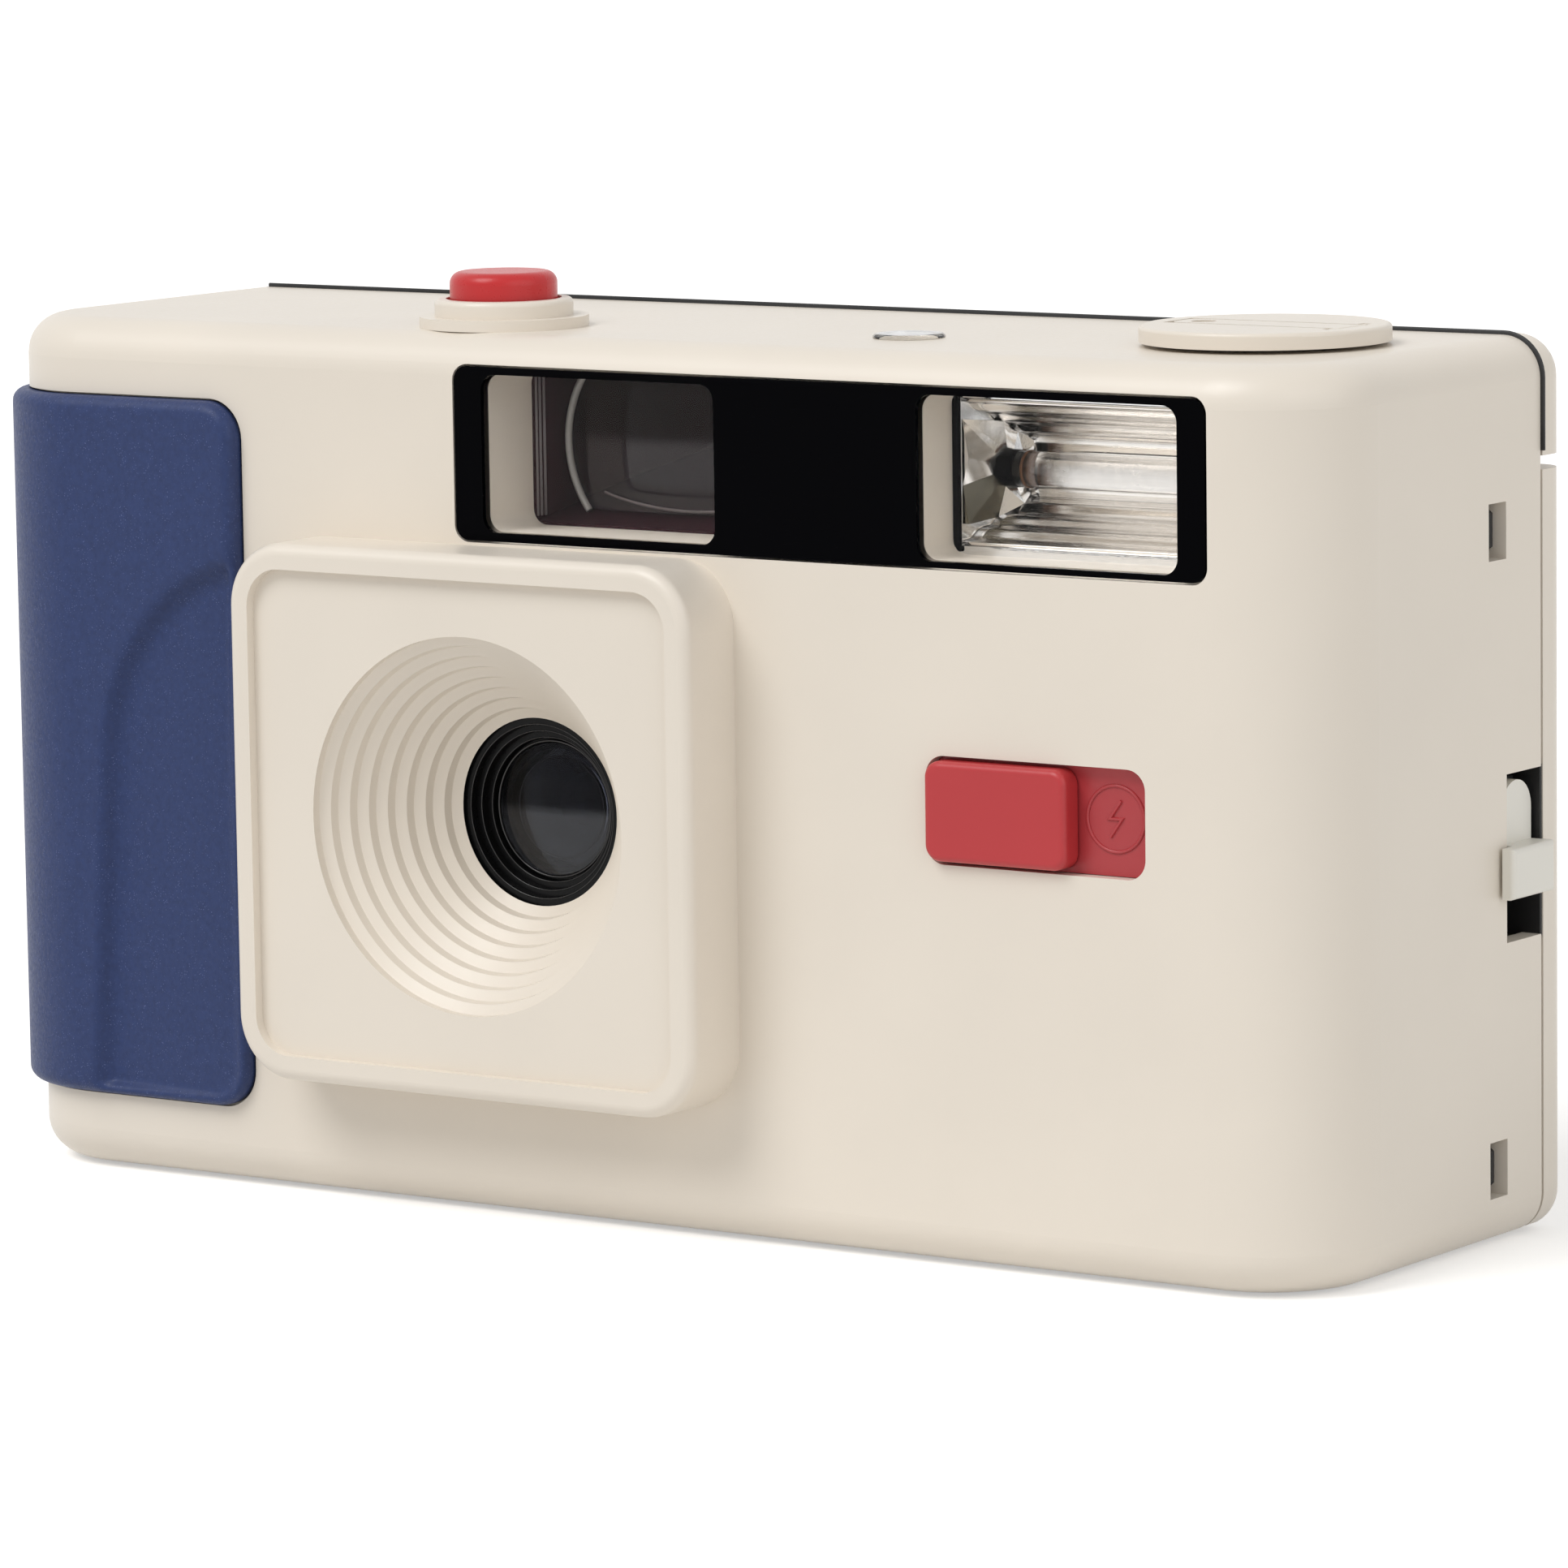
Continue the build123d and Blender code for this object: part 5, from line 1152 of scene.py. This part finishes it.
@dataclass
class Optics(SubAssembly):
    """Picture lens of two glasses, with the fine ledge lines round it, and the dark room behind it.

    glasses holds each glass's radius and depths. ledges are the thin rings' radii and depths, and
    edges the same for the two thicker rings at the glasses.
    """

    middle: Pair = (-9.8, 29.7)
    glasses: tuple[tuple[float, Triple], ...] = ((5.05, (-12.05, -11.92, 0.45)),
                                                 (3.6, (-11.1, -10.6, 0.4)))
    around: int = 128
    shares: Rings = (0.03, 0.97, 20)
    edges: tuple[Pair, ...] = ((5.1, -12.1), (3.7, -11.1))
    edge_wire: float = 0.09
    ledges: tuple[Pair, ...] = ((6.52, -13.7), (5.97, -13.1), (5.42, -12.5))
    ledge_wire: float = 0.05
    ledge_section: int = 8

    def build(self) -> None:
        """Dresses the lens and the light path, and adds the glasses and the rings."""
        put, dress = self.put, self.dress
        dress(BLACK_GLOSS, "lens_barrel", "lens_ring")
        dress(LENS, "front_lens", "rear_lens")
        dress(BLACK_SKIN, "light_box", "film_gate")
        dress(BLUED, "shutter_blade")
        dress(STEEL, "gate_screws")
        glasses = joined(*(glass(self.middle, np.full(self.around, size), size, depths, self.shares)
                           for size, depths in self.glasses))
        lens = put("picture_lens", glasses, PICTURE_LENS, Slot.CLEAR)
        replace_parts(lens, "front_lens")
        lit_through(lens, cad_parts["rear_lens"])
        rings = [ring_wire(self.middle, radius, depth, self.edge_wire) for radius, depth in self.edges]
        rings += [ring_wire(self.middle, radius, depth, self.ledge_wire, around=self.around,
                            section=self.ledge_section) for radius, depth in self.ledges]
        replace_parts(put("lens_snap_ring", joined(*rings), EDGE_BLACK, Slot.BLACK), "lens_ring")


@dataclass
class FilmPath(SubAssembly):
    """Chambers, spool, sprocket, wheel and counter, with the counter's printed scale.

    disc is the middle of the disc's face. tick is a line's inner and outer radius and half its
    width, ink the print's top over the disc and ink_gap its foot.
    """

    disc: Point = (18.2, -0.2, 62.8)
    frames: int = 38
    numbered: int = 5
    tick: Triple = (6.2, 7.0, 0.06)
    number_radius: float = 5.2
    number_size: float = 1.35
    number_middle: float = 0.35
    ink: float = 0.03
    ink_gap: float = 0.002

    def at(self, count: np.ndarray | int, out: np.ndarray, across: np.ndarray) -> list[np.ndarray]:
        """Finds X and Y at a frame's mark, out from the disc's middle and clockwise across."""
        turn = np.asarray(count) * 2 * pi / self.frames - pi / 2
        return [self.disc[0] + out * np.cos(turn) + across * np.sin(turn),
                self.disc[1] + out * np.sin(turn) - across * np.cos(turn)]

    def ticks(self) -> Made:
        """Draws one radial line for each frame.

        Returns:
            Its points and faces: thin flat bars.
        """
        near, far, half = self.tick
        out, across = np.array(((near, half), (far, half), (far, -half), (near, -half))).T
        x, y = self.at(np.arange(self.frames)[:, None], out, across)
        layers = [np.stack((x, y, np.full_like(x, self.disc[2] + off)), axis=-1)
                  for off in (self.ink_gap, self.ink)]
        points = np.stack(layers, axis=1).reshape(-1, 3)
        bar = np.concatenate(capped(2, 4))
        return points, [(bar + 8 * np.arange(self.frames)[:, None, None]).reshape(-1, 4)]

    def number(self, count: int) -> Made:
        """Sets one number of the scale in type.

        Args:
            count: The number, which is also the frame it stands at.

        Returns:
            Its points and triangles, with its foot towards the disc's rim.
        """
        text = bpy.data.curves.new(f"count_{count}", "FONT")
        text.body, text.size, text.align_x = str(count), self.number_size * MM, "CENTER"
        text.extrude, text.resolution_u = self.ink / 2 * MM, 3
        holder = added(text.name, text)
        evaluated = holder.evaluated_get(bpy.context.evaluated_depsgraph_get())
        mesh = bpy.data.meshes.new_from_object(evaluated)
        mesh.calc_loop_triangles()
        flat = np.empty(3 * len(mesh.vertices))
        mesh.vertices.foreach_get("co", flat)
        faces = np.empty(3 * len(mesh.loop_triangles), dtype=np.int32)
        mesh.loop_triangles.foreach_get("vertices", faces)
        bpy.data.objects.remove(holder)
        bpy.data.meshes.remove(mesh)
        bpy.data.curves.remove(text)
        across, up, rise = flat.reshape(-1, 3).T / MM
        out = self.number_radius + self.number_size * self.number_middle - up
        x, y = self.at(count, out, across)
        z = self.disc[2] + rise + self.ink / 2 + self.ink_gap
        return np.stack((x, y, z), axis=-1), [faces.reshape(-1, 3)]

    def build(self) -> None:
        """Dresses the film transport and prints the counter's scale."""
        put, dress = self.put, self.dress
        dress(BLACK_SKIN, "cartridge_chamber", "takeup_chamber", "transport_plate", "takeup_spool",
              "sprocket", "advance_wheel", "rewind_release", "pressure_plate")
        dress(STEEL, "pressure_spring")
        dress(DISC_WHITE, "counter_disc")
        scale = joined(self.ticks(), *(self.number(n) for n in range(0, self.frames, self.numbered)))
        put("counter_scale", scale, INK, Slot.BLACK, body=Body.COUNTER, smooth=False)


class Circuit(SubAssembly):
    """Flash circuit and battery bay."""

    def build(self) -> None:
        """Dresses the flash circuit and the battery bay."""
        dress = self.dress
        dress(BOARD, "flash_board")
        dress(SLEEVE, "flash_capacitor")
        dress(BLACK_SKIN, "battery_tray")
        dress(STEEL, "battery_contacts", "board_screws")


def corners() -> list[list[float]]:
    """Reads the lowest and the highest corner of the shown object's box, in metres."""
    return [[float(value) for value in corner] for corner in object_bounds()]


def main() -> None:
    logging.basicConfig(level=logging.INFO, format="%(message)s")
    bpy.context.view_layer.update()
    parts = (Shell(), Grip(), Switch(), WindowBar(), Finder(), Flash(), Optics(), FilmPath(), Circuit())
    for part in parts:
        part.build()
        LOG.info("%s is done", type(part).__name__)
    Stage().build()


if __name__ == "__main__":
    main()
